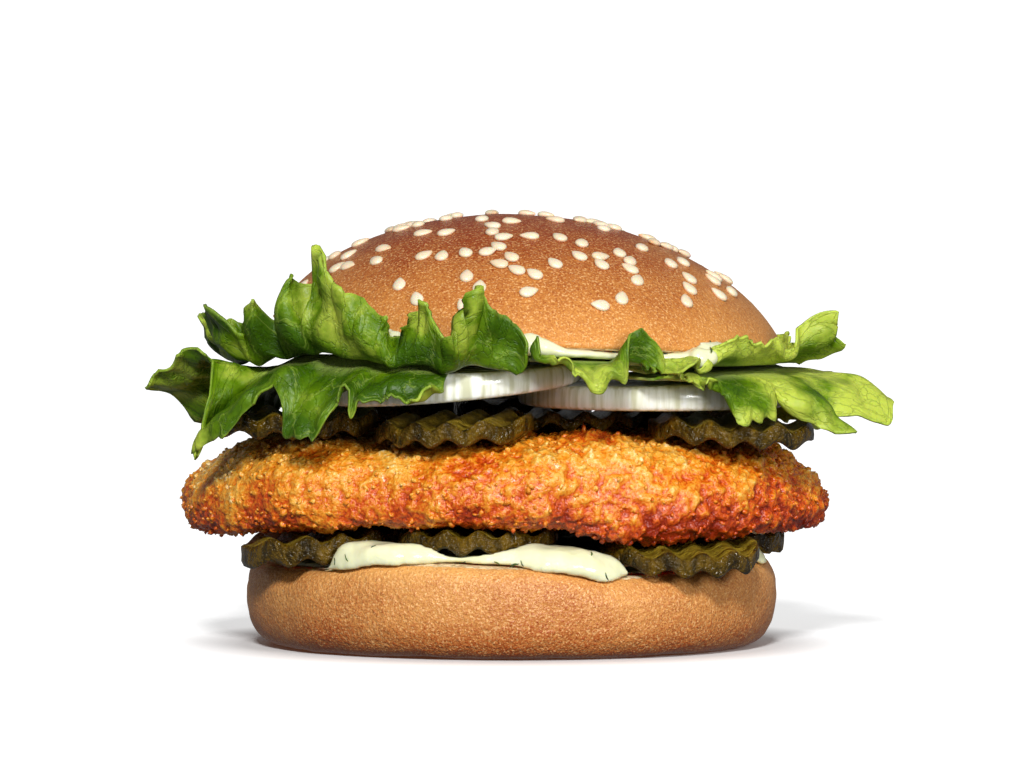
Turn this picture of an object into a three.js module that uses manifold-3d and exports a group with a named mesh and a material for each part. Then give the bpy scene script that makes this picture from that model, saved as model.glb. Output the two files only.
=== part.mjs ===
// A chicken burger: heel bun, herb sauce, crinkle-cut pickles, a fried fillet, more pickles,
// onion slices, frilly lettuce, more sauce and a seeded crown bun, stacked as it is served.
// Millimetres, +Z up. X runs to the right of the shown side and Y away from it. The origin is the
// middle of the heel's flat underside. A bearing is in degrees round the stack's axis, from 0 at
// the shown side, through 90 at +X.
import * as THREE from "three";
import { mergeVertices } from "three/addons/utils/BufferGeometryUtils.js";
import Module from "manifold-3d";

const wasm = await Module();
wasm.setup();

// Driving dimensions.
const GAP = 0.3;
const HEEL = { rim: 50, height: 17.5, lean: -0.018 };
const CROWN = {
  x: 2.9,
  radius: 49.2,
  dome: 28,
  fullness: 0.55,
  sink: 5.4,
  rim: 47.6,
  cut: 57.7,
  tilt: -0.0524,
};
const FILLET = { x: -1, halfLength: 60.6, halfWidth: 46.6, bottom: 21.8, top: 41 };
const PICKLE_WAVE = { pitch: 6.2, height: 0.75 };
const SAUCE_FILM = 1.2;
const LEAF_THICKNESS = 0.7;
const SEED = { length: 3.7, width: 2.5, height: 0.65, sunk: 0.4, count: 116 };

const COLOURS = {
  crown: 0xb5682f,
  heel: 0xc98a54,
  fillet: 0xd07a26,
  pickle: 0x5a5f1c,
  onion: 0xe4e3d0,
  lettuce: 0x6da32a,
  sauce: 0xe6ebbd,
};
const ROUGHNESS = {
  crown: 0.4,
  heel: 0.5,
  fillet: 0.5,
  pickle: 0.2,
  onion: 0.3,
  lettuce: 0.45,
  sauce: 0.25,
};
const MATERIALS = {};
for (const [name, color] of Object.entries(COLOURS))
  MATERIALS[name] = new THREE.MeshStandardMaterial({
    color,
    roughness: ROUGHNESS[name],
    metalness: 0,
  });

const nodes = [];
const addNode = (name, material, geometry) => {
  const mesh = new THREE.Mesh(geometry, MATERIALS[material]);
  mesh.name = name;
  nodes.push(mesh);
};

const radians = (degrees) => (degrees * Math.PI) / 180;
const mix = (a, b, share) => a + (b - a) * share;
const smooth = (low, high, value) => {
  const share = Math.min(1, Math.max(0, (value - low) / (high - low)));
  return share * share * (3 - 2 * share);
};
const onBearing = (bearing, reach) => [
  reach * Math.sin(radians(bearing)),
  -reach * Math.cos(radians(bearing)),
];
// Places at bearings right round, closer together at the shown side as the crowding rises to 1.
const roundTheAxis = (sectors, place, crowding = 0) =>
  Array.from({ length: sectors }, (_, j) => {
    const turn = (2 * Math.PI * j) / sectors;
    return place(((turn - crowding * Math.sin(turn)) * 180) / Math.PI);
  });

// A soft round rise of height 1 in its middle and 0 from its radius on.
const mound = (x, y, [cx, cy], radius) => {
  const share = Math.hypot(x - cx, y - cy) / radius;
  return share >= 1 ? 0 : (1 - share * share) ** 2;
};

// Uneven relief from -1 to 1, for crags and wobbles.
const relief = (x, y, z, scale, shift) => {
  const a = x / scale + shift;
  const b = y / scale - shift;
  const c = z / scale + 2 * shift;
  const folds = Math.sin(a + 1.7 * Math.sin(b)) + Math.sin(b + 1.4 * Math.sin(c + a));
  return (folds + Math.sin(c + 1.9 * Math.sin(a - b))) / 3;
};

// The same row of numbers from 0 to 1 on each run.
const drawsFrom = (start) => {
  let state = start;
  return () => {
    state = (state * 1664525 + 1013904223) % 4294967296;
    return state / 4294967296;
  };
};

const geometryOf = (points, triangles) => {
  const geometry = new THREE.BufferGeometry();
  geometry.setAttribute("position", new THREE.Float32BufferAttribute(points.flat(), 3));
  geometry.setIndex(triangles.flat());
  geometry.computeVertexNormals();
  return geometry;
};

// A closed body from rings of points by bearing, lowest first, with a pole under and over them.
function ringBody(rings, bottomPole, topPole) {
  const sectors = rings[0].length;
  const points = [...rings.flat(), bottomPole, topPole];
  const bottom = points.length - 2;
  const top = points.length - 1;
  const last = (rings.length - 1) * sectors;
  const triangles = [];
  for (let j = 0; j < sectors; j++) {
    const k = (j + 1) % sectors;
    triangles.push([bottom, k, j], [top, last + j, last + k]);
    for (let i = 0; i + 1 < rings.length; i++) {
      const low = i * sectors;
      const high = low + sectors;
      triangles.push([low + j, low + k, high + k], [low + j, high + k, high + j]);
    }
  }
  return geometryOf(points, triangles);
}

// A closed body between two grids of points with the same layout, the upper one first.
function slabBody(upper, lower) {
  const rows = upper.length;
  const columns = upper[0].length;
  const under = rows * columns;
  const at = (i, j) => i * columns + j;
  const triangles = [];
  const wall = (a, b) => triangles.push([a, under + a, under + b], [a, under + b, b]);
  for (let i = 0; i + 1 < rows; i++)
    for (let j = 0; j + 1 < columns; j++) {
      const corners = [at(i, j), at(i + 1, j), at(i + 1, j + 1), at(i, j + 1)];
      const [a, b, c, d] = corners;
      const [e, f, g, h] = corners.map((corner) => corner + under);
      triangles.push([a, b, c], [a, c, d], [e, g, f], [e, h, g]);
    }
  for (let i = 0; i + 1 < rows; i++) {
    wall(at(i, 0), at(i + 1, 0));
    wall(at(i + 1, columns - 1), at(i, columns - 1));
  }
  for (let j = 0; j + 1 < columns; j++) {
    wall(at(0, j + 1), at(0, j));
    wall(at(rows - 1, j), at(rows - 1, j + 1));
  }
  return geometryOf([...upper.flat(), ...lower.flat()], triangles);
}

const solidOf = (geometry) => {
  const merged = mergeVertices(geometry.clone().deleteAttribute("normal"), 1e-5);
  return wasm.Manifold.ofMesh(
    new wasm.Mesh({
      numProp: 3,
      vertProperties: new Float32Array(merged.attributes.position.array),
      triVerts: new Uint32Array(merged.index.array),
    }),
  );
};
const SLIVER = 0.04;
const geometryFrom = (solid) => {
  const mesh = solid.asOriginal().simplify(SLIVER).getMesh();
  const geometry = new THREE.BufferGeometry();
  geometry.setAttribute("position", new THREE.BufferAttribute(mesh.vertProperties, 3));
  geometry.setIndex(new THREE.BufferAttribute(mesh.triVerts, 1));
  geometry.computeVertexNormals();
  return geometry;
};
const cutFrom = (geometry, ...cutters) =>
  geometryFrom(wasm.Manifold.difference([geometry, ...cutters].map(solidOf)));

// Pickle slices: ridged discs. rise is the slope along X and Y, and turn the direction across
// the ridges.
const LOWER_PICKLES = [
  { name: "pickle_lower_left", at: [-35, -19], radius: 15.3, z: 19.6, rise: [0.085, 0], turn: 8 },
  { name: "pickle_lower_front", at: [-6.3, -30], radius: 14.8, z: 21.6, rise: [0, 0.01], turn: -6 },
  { name: "pickle_lower_right", at: [31, -30], radius: 14.8, z: 18.9, rise: [-0.03, 0.1], turn: 10 },
  { name: "pickle_lower_far_right", at: [36, 6.5], radius: 15, z: 20.1, rise: [-0.07, 0], turn: 62 },
  { name: "pickle_lower_back_left", at: [-25, 24], radius: 15.2, z: 20.5, rise: [0.05, -0.03], turn: 35 },
  { name: "pickle_lower_back", at: [8, 32], radius: 15, z: 21, rise: [0, -0.03], turn: -20 },
];
const UPPER_PICKLES = [
  { name: "pickle_upper_left", at: [-40, -19], radius: 15.4, z: 42.6, rise: [0.01, 0.01], turn: 4 },
  { name: "pickle_upper_front", at: [-10.6, -31], radius: 14.6, z: 42, rise: [0.035, 0.03], turn: -12 },
  { name: "pickle_upper_middle", at: [11, -9], radius: 13.4, z: 42.8, rise: [0, 0], turn: 5 },
  { name: "pickle_upper_right", at: [40.6, -21], radius: 15.4, z: 41.2, rise: [-0.06, 0.02], turn: 3 },
  { name: "pickle_upper_back_right", at: [31, 22], radius: 15, z: 41.9, rise: [-0.05, -0.03], turn: 40 },
  { name: "pickle_upper_back_left", at: [-26, 23], radius: 15, z: 42.2, rise: [0.02, -0.02], turn: -30 },
  { name: "pickle_upper_back", at: [1.6, 32], radius: 13.6, z: 42.4, rise: [0, -0.02], turn: 15 },
];
const PICKLE_THICKNESS = 3.3;
const OTHER_THICKNESSES = { pickle_lower_left: 4.1, pickle_upper_middle: 2.2 };
const HEEL_PRESS_MARGIN = 7;
const FILLET_PRESS_MARGIN = 8;

const pickleThickness = ({ name }) => OTHER_THICKNESSES[name] ?? PICKLE_THICKNESS;
const pickleHalf = (pickle) => pickleThickness(pickle) / 2 + PICKLE_WAVE.height;
const pickleMiddle = ({ at, z, rise }, x, y) => z + rise[0] * (x - at[0]) + rise[1] * (y - at[1]);

// The height that a soft layer keeps where slices press on it, or where it lies on them.
const pressing = (pickles, x, y, margin) =>
  pickles.filter(({ at, radius }) => Math.hypot(x - at[0], y - at[1]) < radius + margin);
const keptUnder = (pickles, x, y, height, margin) =>
  pressing(pickles, x, y, margin).reduce(
    (low, pickle) => Math.min(low, pickleMiddle(pickle, x, y) - pickleHalf(pickle) - GAP),
    height,
  );
const keptOver = (pickles, x, y, height, margin) =>
  pressing(pickles, x, y, margin).reduce(
    (high, pickle) => Math.max(high, pickleMiddle(pickle, x, y) + pickleHalf(pickle) + GAP),
    height,
  );

// Across its ridges a slice has columns of points, bunched towards its ends.
const PICKLE_GRID = { columns: 20, reach: 0.985, bunching: 0.45 };
function pickleGeometry(pickle) {
  const turn = radians(pickle.turn);
  const half = pickleThickness(pickle) / 2;
  const gridAt = (side) =>
    Array.from({ length: PICKLE_GRID.columns }, (_, i) => {
      const even = (2 * i) / (PICKLE_GRID.columns - 1) - 1;
      const share = mix(even, Math.sin((even * Math.PI) / 2), PICKLE_GRID.bunching);
      const across = PICKLE_GRID.reach * pickle.radius * share;
      const wave = PICKLE_WAVE.height * Math.sin((2 * Math.PI * across) / PICKLE_WAVE.pitch);
      const chord = Math.sqrt(pickle.radius ** 2 - across ** 2);
      return [-chord, chord].map((along) => {
        const x = pickle.at[0] + across * Math.cos(turn) - along * Math.sin(turn);
        const y = pickle.at[1] + across * Math.sin(turn) + along * Math.cos(turn);
        return [x, y, pickleMiddle(pickle, x, y) + wave + side * half];
      });
    });
  return slabBody(gridAt(1), gridAt(-1));
}
for (const pickle of [...LOWER_PICKLES, ...UPPER_PICKLES])
  addNode(pickle.name, "pickle", pickleGeometry(pickle));

// Heel: a flat-bottomed bun half with a rounded foot, whose soft top the slices press down.
const HEEL_SECTORS = 34;
const HEEL_FOOT = [
  [30, 0],
  [44, 0],
  [47, 1.1],
  [48.9, 3.5],
  [49.8, 6.8],
  [50, 10.6],
];
const HEEL_TOP = [46.4, 41, 33, 23, 12];
const heelOutline = (bearing) =>
  1 + 0.006 * Math.sin(radians(2 * bearing + 40)) + 0.005 * Math.sin(radians(3 * bearing - 70));
const heelWobble = (x, y) => 0.25 * Math.sin(x / 9 + 1) * Math.cos(y / 11);
const heelTop = (x, y) => {
  const film = (SAUCE_FILM + GAP) * (1 - smooth(38, 47, Math.hypot(x, y)));
  const free = HEEL.height + HEEL.lean * x + heelWobble(x, y);
  return keptUnder(LOWER_PICKLES, x, y, free + film, HEEL_PRESS_MARGIN) - film;
};
const heelPlace = (bearing, radius) => onBearing(bearing, radius * heelOutline(bearing));
const heelRing = (radius, heightAt) =>
  roundTheAxis(HEEL_SECTORS, (bearing) => {
    const [x, y] = heelPlace(bearing, radius);
    return [x, y, heightAt(x, y)];
  });
const heelBody = (grown) =>
  ringBody(
    [
      ...HEEL_FOOT.map(([radius, z]) => heelRing(radius + grown, () => z)),
      heelRing(HEEL.rim - 0.4 + grown, (x, y) => heelTop(x, y) - 3.2 + grown),
      heelRing(HEEL.rim - 1.5 + grown, (x, y) => heelTop(x, y) - 1.1 + grown),
      ...HEEL_TOP.map((radius) => heelRing(radius, (x, y) => heelTop(x, y) + grown)),
    ],
    [0, 0, 0],
    [0, 0, heelTop(0, 0) + grown],
  );
addNode("bun_heel", "heel", heelBody(0));

// Fillet: a flattened lump, long in X, with a craggy coating that bulges at the rim.
const FILLET_SECTORS = 48;
const FILLET_PROFILE = [
  [0.3, 0],
  [0.57, 0],
  [0.8, 0],
  [0.91, 0],
  [0.965, 0.06],
  [0.987, 0.18],
  [1, 0.38],
  [0.985, 0.62],
  [0.945, 0.78],
  [0.87, 0.92],
  [0.75, 1],
  [0.55, 1],
  [0.28, 1],
];
const filletUnder = (x, y) =>
  FILLET.bottom - 2.3 * mound(x, y, [29, -40], 26) - 1.6 * smooth(44, 56, Math.abs(x));
const filletOver = (x, y) => {
  const crests = 1.6 * mound(x, y, [17, -36], 16) + 1.4 * mound(x, y, [-30, -38], 13);
  const hollow = 3.4 * mound(x, y, [-18, -44], 15);
  return FILLET.top + crests - hollow - 5.4 * smooth(40, 62, Math.abs(x)) - smooth(34, 60, x);
};
const filletOutline = (bearing) => {
  const turn = radians(bearing);
  const oval = Math.hypot(Math.sin(turn) / FILLET.halfLength, Math.cos(turn) / FILLET.halfWidth);
  const lobes = 1.3 * Math.sin(3 * turn + 0.6) + 0.8 * Math.sin(7 * turn + 2);
  return 1 / oval + lobes + 0.5 * Math.sin(13 * turn);
};
// Crags stand out of the side, coarse and fine, and low lumps of the coating out of both faces.
const CRAGS = { height: 1.1, coarse: 3.1, fine: 1.7, lump: 0.5, lumpScale: 3.6 };
const filletPoint = (bearing, [outward, upward]) => {
  const reach = filletOutline(bearing) * outward;
  const [flatX, flatY] = onBearing(bearing, reach);
  const side = 4 * upward * (1 - upward);
  const coarse = relief(flatX, flatY, 30 * upward, CRAGS.coarse, 0.4);
  const fine = 0.6 * relief(flatY, flatX, 9, CRAGS.fine, 2);
  const [fromX, y] = onBearing(bearing, reach + CRAGS.height * side * (coarse + fine));
  const x = fromX + FILLET.x;
  const lump = CRAGS.lump * (relief(x, y, 0, CRAGS.lumpScale, 5) - 1);
  const low = keptOver(LOWER_PICKLES, x, y, filletUnder(x, y) - lump, FILLET_PRESS_MARGIN);
  const high = keptUnder(UPPER_PICKLES, x, y, filletOver(x, y) + lump, FILLET_PRESS_MARGIN);
  return [x, y, mix(low, high, upward)];
};
const filletRings = FILLET_PROFILE.map((share) =>
  roundTheAxis(FILLET_SECTORS, (bearing) => filletPoint(bearing, share)),
);
addNode(
  "chicken_fillet",
  "fillet",
  ringBody(filletRings, filletPoint(0, [0, 0]), filletPoint(0, [0, 1])),
);

// The places where sauce oozes out: how far round, how wide, and how full from 0 to 1.
const turnFrom = (a, b) => ((((a - b) % 360) + 540) % 360) - 180;
const bell = (share) => Math.exp(-(share ** 2));
const fullnessAt = (oozes, bearing) => {
  const parts = oozes.map(({ at, wide, full }) => full * bell(turnFrom(bearing, at) / wide));
  return Math.min(1, parts.reduce((sum, part) => sum + part, 0));
};

// Lower sauce: a smear over the heel that oozes out between the slices and hangs over the rim.
const LOWER_OOZES = [
  { at: -37, wide: 14, full: 0.95 },
  { at: -8, wide: 16, full: 0.3 },
  { at: 16, wide: 13, full: 0.75 },
  { at: 73, wide: 6, full: 0.9 },
  { at: 112, wide: 11, full: 0.6 },
  { at: 190, wide: 8, full: 0.8 },
  { at: 262, wide: 13, full: 0.8 },
];
// Each ring: its reach and what an ooze adds to it, and its height from the heel's top and what
// an ooze adds to that. The heel and the slices, grown by the gap, then cut their own places.
const LOWER_SAUCE = { depth: 2.5, smear: 1.5, underFillet: 0.7, sectors: 40 };
const LOWER_SAUCE_PROFILE = [
  [34, 0, -LOWER_SAUCE.depth, 0],
  [42, 0, -LOWER_SAUCE.depth, 0],
  [45, 3.9, -0.9, -0.6],
  [45.3, 4.5, 0, -0.1],
  [45.2, 3.9, 0.7, 1.5],
  [44.6, 2.8, 1.2, 3.2],
  [43.2, 1.4, LOWER_SAUCE.smear, 4.9],
  [40, 0, LOWER_SAUCE.smear, 5],
  [26, 0, LOWER_SAUCE.smear, 0],
];
const SAUCE_CROWDING = 0.45;
const lowerSaucePoint = (bearing, [reach, spread, height, swell]) => {
  const full = fullnessAt(LOWER_OOZES, bearing);
  const [x, y] = heelPlace(bearing, reach + spread * smooth(0.1, 0.8, full));
  const free = heelTop(x, y) + height + swell * full;
  return [x, y, Math.min(free, filletUnder(x, y) - LOWER_SAUCE.underFillet)];
};
const lowerSauce = ringBody(
  LOWER_SAUCE_PROFILE.map((ring) =>
    roundTheAxis(
      LOWER_SAUCE.sectors,
      (bearing) => lowerSaucePoint(bearing, ring),
      SAUCE_CROWDING,
    ),
  ),
  [0, 0, heelTop(0, 0) - LOWER_SAUCE.depth],
  lowerSaucePoint(0, [0, 0, LOWER_SAUCE.smear, 0]),
);
const SLICE_PLACE = { sectors: 20, height: 9 };
const slicePlace = (pickle) => {
  const under = pickleHalf(pickle) + GAP;
  const point = (dx, dy, up) => {
    const [x, y] = [pickle.at[0] + dx, pickle.at[1] + dy];
    return [x, y, pickleMiddle(pickle, x, y) - under + up];
  };
  const ring = (up) =>
    roundTheAxis(SLICE_PLACE.sectors, (bearing) =>
      point(...onBearing(bearing, pickle.radius + GAP), up),
    );
  return ringBody([ring(0), ring(SLICE_PLACE.height)], point(0, 0, 0), point(0, 0, SLICE_PLACE.height));
};
addNode(
  "sauce_lower",
  "sauce",
  cutFrom(lowerSauce, heelBody(GAP), ...LOWER_PICKLES.map(slicePlace)),
);

// Onion slices: full discs with a groove between rings, each lying on what is under it. thick is
// the thickness in the middle and how it changes along X.
const ONIONS = [
  { name: "right", at: [27.2, -10.5], radius: 26, z: 45.4, rise: [0, 0], thick: [4.7, 0.02] },
  { name: "left", at: [-11, -22], radius: 24, z: 48.3, rise: [0.09, 0.03], thick: [5.2, -0.058] },
  { name: "back", at: [-4, 26.5], radius: 21, z: 45.4, rise: [0.01, 0], thick: [4.6, 0] },
];
const ONION_SECTORS = 24;
const ONION_PROFILE = [
  [0.94, 0],
  [1, 0.2],
  [0.985, 0.8],
  [0.94, 1],
  [0.8, 1],
  [0.78, 0.92],
  [0.76, 1],
];
const onionPoint = ({ at, radius, z, rise, thick }, bearing, [outward, upward]) => {
  const [dx, dy] = onBearing(bearing, radius * outward);
  const under = z + rise[0] * dx + rise[1] * dy;
  return [at[0] + dx, at[1] + dy, under + upward * (thick[0] + thick[1] * dx)];
};
for (const onion of ONIONS)
  addNode(
    `onion_${onion.name}`,
    "onion",
    ringBody(
      ONION_PROFILE.map((share) =>
        roundTheAxis(ONION_SECTORS, (bearing) => onionPoint(onion, bearing, share)),
      ),
      onionPoint(onion, 0, [0, 0]),
      onionPoint(onion, 0, [0, 1]),
    ),
  );

// Crown: a domed bun half that leans to the right.
const crownCut = (x) => CROWN.cut + CROWN.tilt * (x - 2);
const crownDome = (radius) =>
  CROWN.dome * Math.max(0, 1 - (radius / CROWN.radius) ** 2) ** CROWN.fullness - CROWN.sink;
const CROWN_SECTORS = 36;
const CROWN_EDGE = [
  [46, 0],
  [47.1, 0.35],
  [CROWN.rim, 1.2],
];
const CROWN_RISE = [46.7, 44.8, 41.5, 36.5, 30, 22, 12];
const crownPoint = (bearing, [radius, rise]) => {
  const [dx, y] = onBearing(bearing, radius);
  return [CROWN.x + dx, y, crownCut(CROWN.x + dx) + rise];
};
const crownProfile = [...CROWN_EDGE, ...CROWN_RISE.map((radius) => [radius, crownDome(radius)])];
const crownRings = crownProfile.map((ring) =>
  roundTheAxis(CROWN_SECTORS, (bearing) => crownPoint(bearing, ring)),
);

// Sesame seeds: strewn over the dome, fewer at its foot and at the back, some of them touching.
// The shares at the foot, at the back and on the left are those of the middle's chance of a seed.
const SEED_SPREAD = { reach: 43.5, apart: 2.6, foot: 0.45, back: 0.6, left: 0.7 };
const seedDraw = drawsFrom(77);
const seeds = [];
while (seeds.length < SEED.count) {
  const reach = SEED_SPREAD.reach * Math.sqrt(seedDraw());
  const [dx, y] = onBearing(360 * seedDraw(), reach);
  const turn = 180 * seedDraw();
  const footShare = mix(1, SEED_SPREAD.foot, smooth(32, SEED_SPREAD.reach, reach));
  const sideShare = (y > 8 ? SEED_SPREAD.back : 1) * (dx < -10 ? SEED_SPREAD.left : 1);
  const isFree = seeds.every((seed) => Math.hypot(seed.dx - dx, seed.y - y) > SEED_SPREAD.apart);
  if (isFree && seedDraw() < footShare * sideShare) seeds.push({ dx, y, turn });
}

const SEED_SIDES = 5;
function seedGeometry({ dx, y, turn }) {
  const radius = Math.hypot(dx, y);
  const step = 0.05;
  const slope = (crownDome(radius + step) - crownDome(radius - step)) / (2 * step);
  const normal = new THREE.Vector3(
    (-slope * dx) / radius - CROWN.tilt,
    (-slope * y) / radius,
    1,
  ).normalize();
  const level = new THREE.Vector3(-y, dx, 0).normalize();
  const long = level.projectOnPlane(normal).normalize().applyAxisAngle(normal, radians(turn));
  const wide = new THREE.Vector3().crossVectors(normal, long);
  const x = CROWN.x + dx;
  const centre = new THREE.Vector3(x, y, crownCut(x) + crownDome(radius));
  const placed = (along, across, height) =>
    centre
      .clone()
      .addScaledVector(long, along)
      .addScaledVector(wide, across)
      .addScaledVector(normal, height)
      .toArray();
  const ring = (share, height) =>
    Array.from({ length: SEED_SIDES }, (_, side) => {
      const around = (2 * Math.PI * side) / SEED_SIDES;
      const along = (share * SEED.length * Math.cos(around)) / 2;
      const across = (share * SEED.width * Math.sin(around)) / 2;
      return placed(along, across, height);
    });
  return ringBody(
    [ring(1, -SEED.sunk), ring(0.84, SEED.height * 0.5)],
    placed(0, 0, -SEED.sunk),
    placed(0, 0, SEED.height),
  );
}

const dome = ringBody(
  crownRings,
  crownPoint(0, [0, 0]),
  crownPoint(0, [0, CROWN.dome - CROWN.sink]),
);
const seededDome = wasm.Manifold.union([dome, ...seeds.map(seedGeometry)].map(solidOf));
addNode("bun_crown", "crown", geometryFrom(seededDome));

// Upper sauce: a smear under the crown that oozes up round its rim.
const UPPER_OOZES = [
  { at: 0, wide: 6.5, full: 1 },
  { at: 13, wide: 6.5, full: 0.5 },
  { at: 36, wide: 6, full: 0.4 },
  { at: 46, wide: 6, full: 0.95 },
  { at: -33, wide: 6, full: 0.95 },
  { at: 196, wide: 12, full: 0.8 },
  { at: 236, wide: 7, full: 0.5 },
];
// Each ring: its reach from the crown's middle and what an ooze adds to it, and its height from
// the cut and what an ooze adds to that. The crown, grown by the gap, then cuts its own place.
const UPPER_SAUCE = { depth: 1.3, under: 0.4, sectors: 44 };
const UPPER_SAUCE_PROFILE = [
  [24, 0, -UPPER_SAUCE.depth, 0],
  [42, 0, -UPPER_SAUCE.depth, 0],
  [46.2, 1.7, -UPPER_SAUCE.depth, -0.1],
  [46.7, 2.8, -1.05, 0.4],
  [46.8, 3.2, -0.85, 1.7],
  [46.7, 2.7, -0.65, 3.1],
  [46.4, 1, -0.5, 3.9],
  [45.6, -2.5, -UPPER_SAUCE.under, 3],
  [42, 0, -UPPER_SAUCE.under, 0],
];
const upperSaucePoint = (bearing, [reach, spread, height, swell]) => {
  const full = fullnessAt(UPPER_OOZES, bearing);
  const spreadOut = reach + spread * smooth(0.12, 0.42, full);
  return crownPoint(bearing, [spreadOut, height + swell * smooth(0.3, 1, full)]);
};
const upperSauce = ringBody(
  UPPER_SAUCE_PROFILE.map((ring) =>
    roundTheAxis(
      UPPER_SAUCE.sectors,
      (bearing) => upperSaucePoint(bearing, ring),
      SAUCE_CROWDING,
    ),
  ),
  crownPoint(0, [0, -UPPER_SAUCE.depth]),
  crownPoint(0, [0, -UPPER_SAUCE.under]),
);
const grownCrown = ringBody(
  crownProfile.map(([radius, rise]) =>
    roundTheAxis(CROWN_SECTORS, (bearing) =>
      crownPoint(bearing, [radius + GAP, rise < 1 ? rise - GAP : rise + GAP / 3]),
    ),
  ),
  crownPoint(0, [0, -GAP]),
  crownPoint(0, [0, CROWN.dome]),
);
addNode("sauce_upper", "sauce", cutFrom(upperSauce, grownCrown));

// Lettuce: thin wavy leaves. A leaf lies level from its root out to its exit from the stack, and
// each of its ribs then bends on to a tip or a dip of the frilled edge. An edge point is its
// bearing, reach from the axis, and height. The rest of an edge, at the back, is a frill.
const underCrown = (x) => crownCut(x) - 2.1;
const droopingAtItsStart = (x, y) =>
  underCrown(x) - 1.5 * smooth(30, 46, Math.hypot(x, y)) * (1 - smooth(24, 33, x));
const overRightOnion = () => 51.7;
const saggingPastOnion = (depth, sag) => (x, y) => {
  const past = Math.hypot(x - ONIONS[1].at[0], y - ONIONS[1].at[1]) - ONIONS[1].radius;
  return Math.max(51, crownCut(x) - depth - sag * smooth(2, 12, past));
};
const LEAVES = [
  {
    name: "left_upper",
    level: saggingPastOnion(2.1, 2.5),
    root: 8,
    exit: 46.8,
    bow: { outward: 0.85, upward: 0.1, drop: 7.2 },
    roots: [-184, 0.5],
    frill: { from: -182, to: -74, reach: [53, 59], height: [56.5, 63], draw: 5 },
    edge: [
      [-68.7, 60, 64.4], [-63, 55, 59.5], [-57.3, 58, 66.4], [-55, 52, 60.7], [-47.9, 57, 70.3],
      [-45, 55, 68.7], [-43.6, 56, 75.8], [-36.2, 55, 70], [-31.2, 54.5, 67.1],
      [-26.4, 54, 62.6], [-24.6, 53, 58.8], [-18.8, 54, 66.5], [-13.1, 53, 59.8],
      [-9.7, 53.5, 63.6], [-6.6, 54, 70], [-3.8, 54, 65.1], [0.8, 53, 63.2], [1.6, 53, 58],
    ],
  },
  {
    name: "left_lower",
    level: saggingPastOnion(4.35, 4.5),
    root: 30,
    exit: 46,
    bow: { outward: 0.75, upward: 0.27, drop: 1.5 },
    roots: [-154, -14],
    frill: { from: -154, to: -85, reach: [52.5, 57], height: [43.5, 41.6], draw: 11 },
    edge: [
      [-78, 68.5, 48.4], [-71.5, 64, 56.2], [-66, 60, 55.5], [-63, 64.5, 44],
      [-65.5, 64.5, 36.4], [-57, 63, 41.5], [-53, 60, 45.6], [-49, 58, 51], [-45.7, 58, 41],
      [-39.3, 58, 41.3], [-35, 56, 48.4], [-33.4, 55.5, 50.5], [-31.6, 56, 45.1],
      [-25.5, 55, 48.8], [-19, 54.5, 47.6], [-14.5, 54, 49.6],
    ],
  },
  {
    name: "middle",
    level: underCrown,
    root: 12,
    exit: 48.8,
    bow: { outward: 0.85, upward: 0.1, drop: 0 },
    roots: [3.8, 28],
    edge: [
      [4.2, 53, 60.2], [4.8, 54, 56.4], [9.5, 54, 54.9], [12, 54, 52.8], [16.4, 55, 50.5],
      [18.6, 54.5, 52.3], [22.4, 55, 52.1], [23.2, 54, 54.5], [24.4, 52, 60.5], [27, 52, 60.9],
      [29.6, 53, 59.5], [31.4, 54, 55.4], [30.6, 55, 52.8],
    ],
  },
  {
    name: "right_upper",
    level: droopingAtItsStart,
    root: 12,
    exit: 49.3,
    bow: { outward: 0.85, upward: 0.1, drop: 0 },
    roots: [29.5, 171],
    edge: [
      [27, 51.6, 53.3], [31.5, 52.5, 53], [35, 56, 55.8], [40, 54, 54.2], [45, 54.5, 57.2],
      [49.6, 55, 59], [54.2, 55.5, 58.2], [60.6, 56, 57.5], [63.4, 56.5, 55.6], [66, 58, 55.4],
      [67.1, 58.5, 60.4], [69, 61, 62.4], [71, 64.5, 62.4], [72.6, 61.5, 60], [74.3, 64, 57.2],
      [76, 60, 55.2],
    ],
    frill: { from: 81, to: 169, reach: [54, 60], height: [53, 57], draw: 23 },
  },
  {
    name: "right_lower",
    level: overRightOnion,
    root: 30,
    exit: 49.7,
    bow: { outward: 0.85, upward: 0.1, drop: 0 },
    roots: [30, 152],
    edge: [
      [34, 54, 51.9], [40, 55, 50.9], [44.7, 56.5, 49.5], [45.9, 57.5, 43.9],
      [50.9, 59, 42.6], [55.5, 58, 44.5], [58.5, 57.5, 48.6], [60, 60, 44.3],
      [62, 64, 42.4], [67, 67, 40.9], [70, 61, 44.5], [77.4, 70.5, 42], [82, 71.2, 46.3],
      [83.5, 65, 45], [86, 64.5, 47], [89, 58.5, 50.4],
    ],
    frill: { from: 94, to: 151, reach: [54.8, 59], height: [42.6, 41], draw: 31 },
  },
];

// Round lobes of drawn width and size, from a dip's reach and height to a tip's.
const FRILL = { rib: 4.3, lobe: [11, 17] };
function frilledEdge({ from, to, reach, height, draw }) {
  const next = drawsFrom(draw);
  const edge = [];
  let start = from;
  let width = mix(...FRILL.lobe, next());
  let size = 0.6;
  for (let bearing = from; bearing <= to; bearing += FRILL.rib) {
    if (bearing > start + width) {
      start += width;
      width = mix(...FRILL.lobe, next());
      size = 0.45 + 0.55 * next();
    }
    const share = size * Math.sin((Math.PI * (bearing - start)) / width) ** 0.7;
    edge.push([bearing, mix(...reach, share), mix(...height, share + 0.12 * next())]);
  }
  return edge;
}

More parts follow.
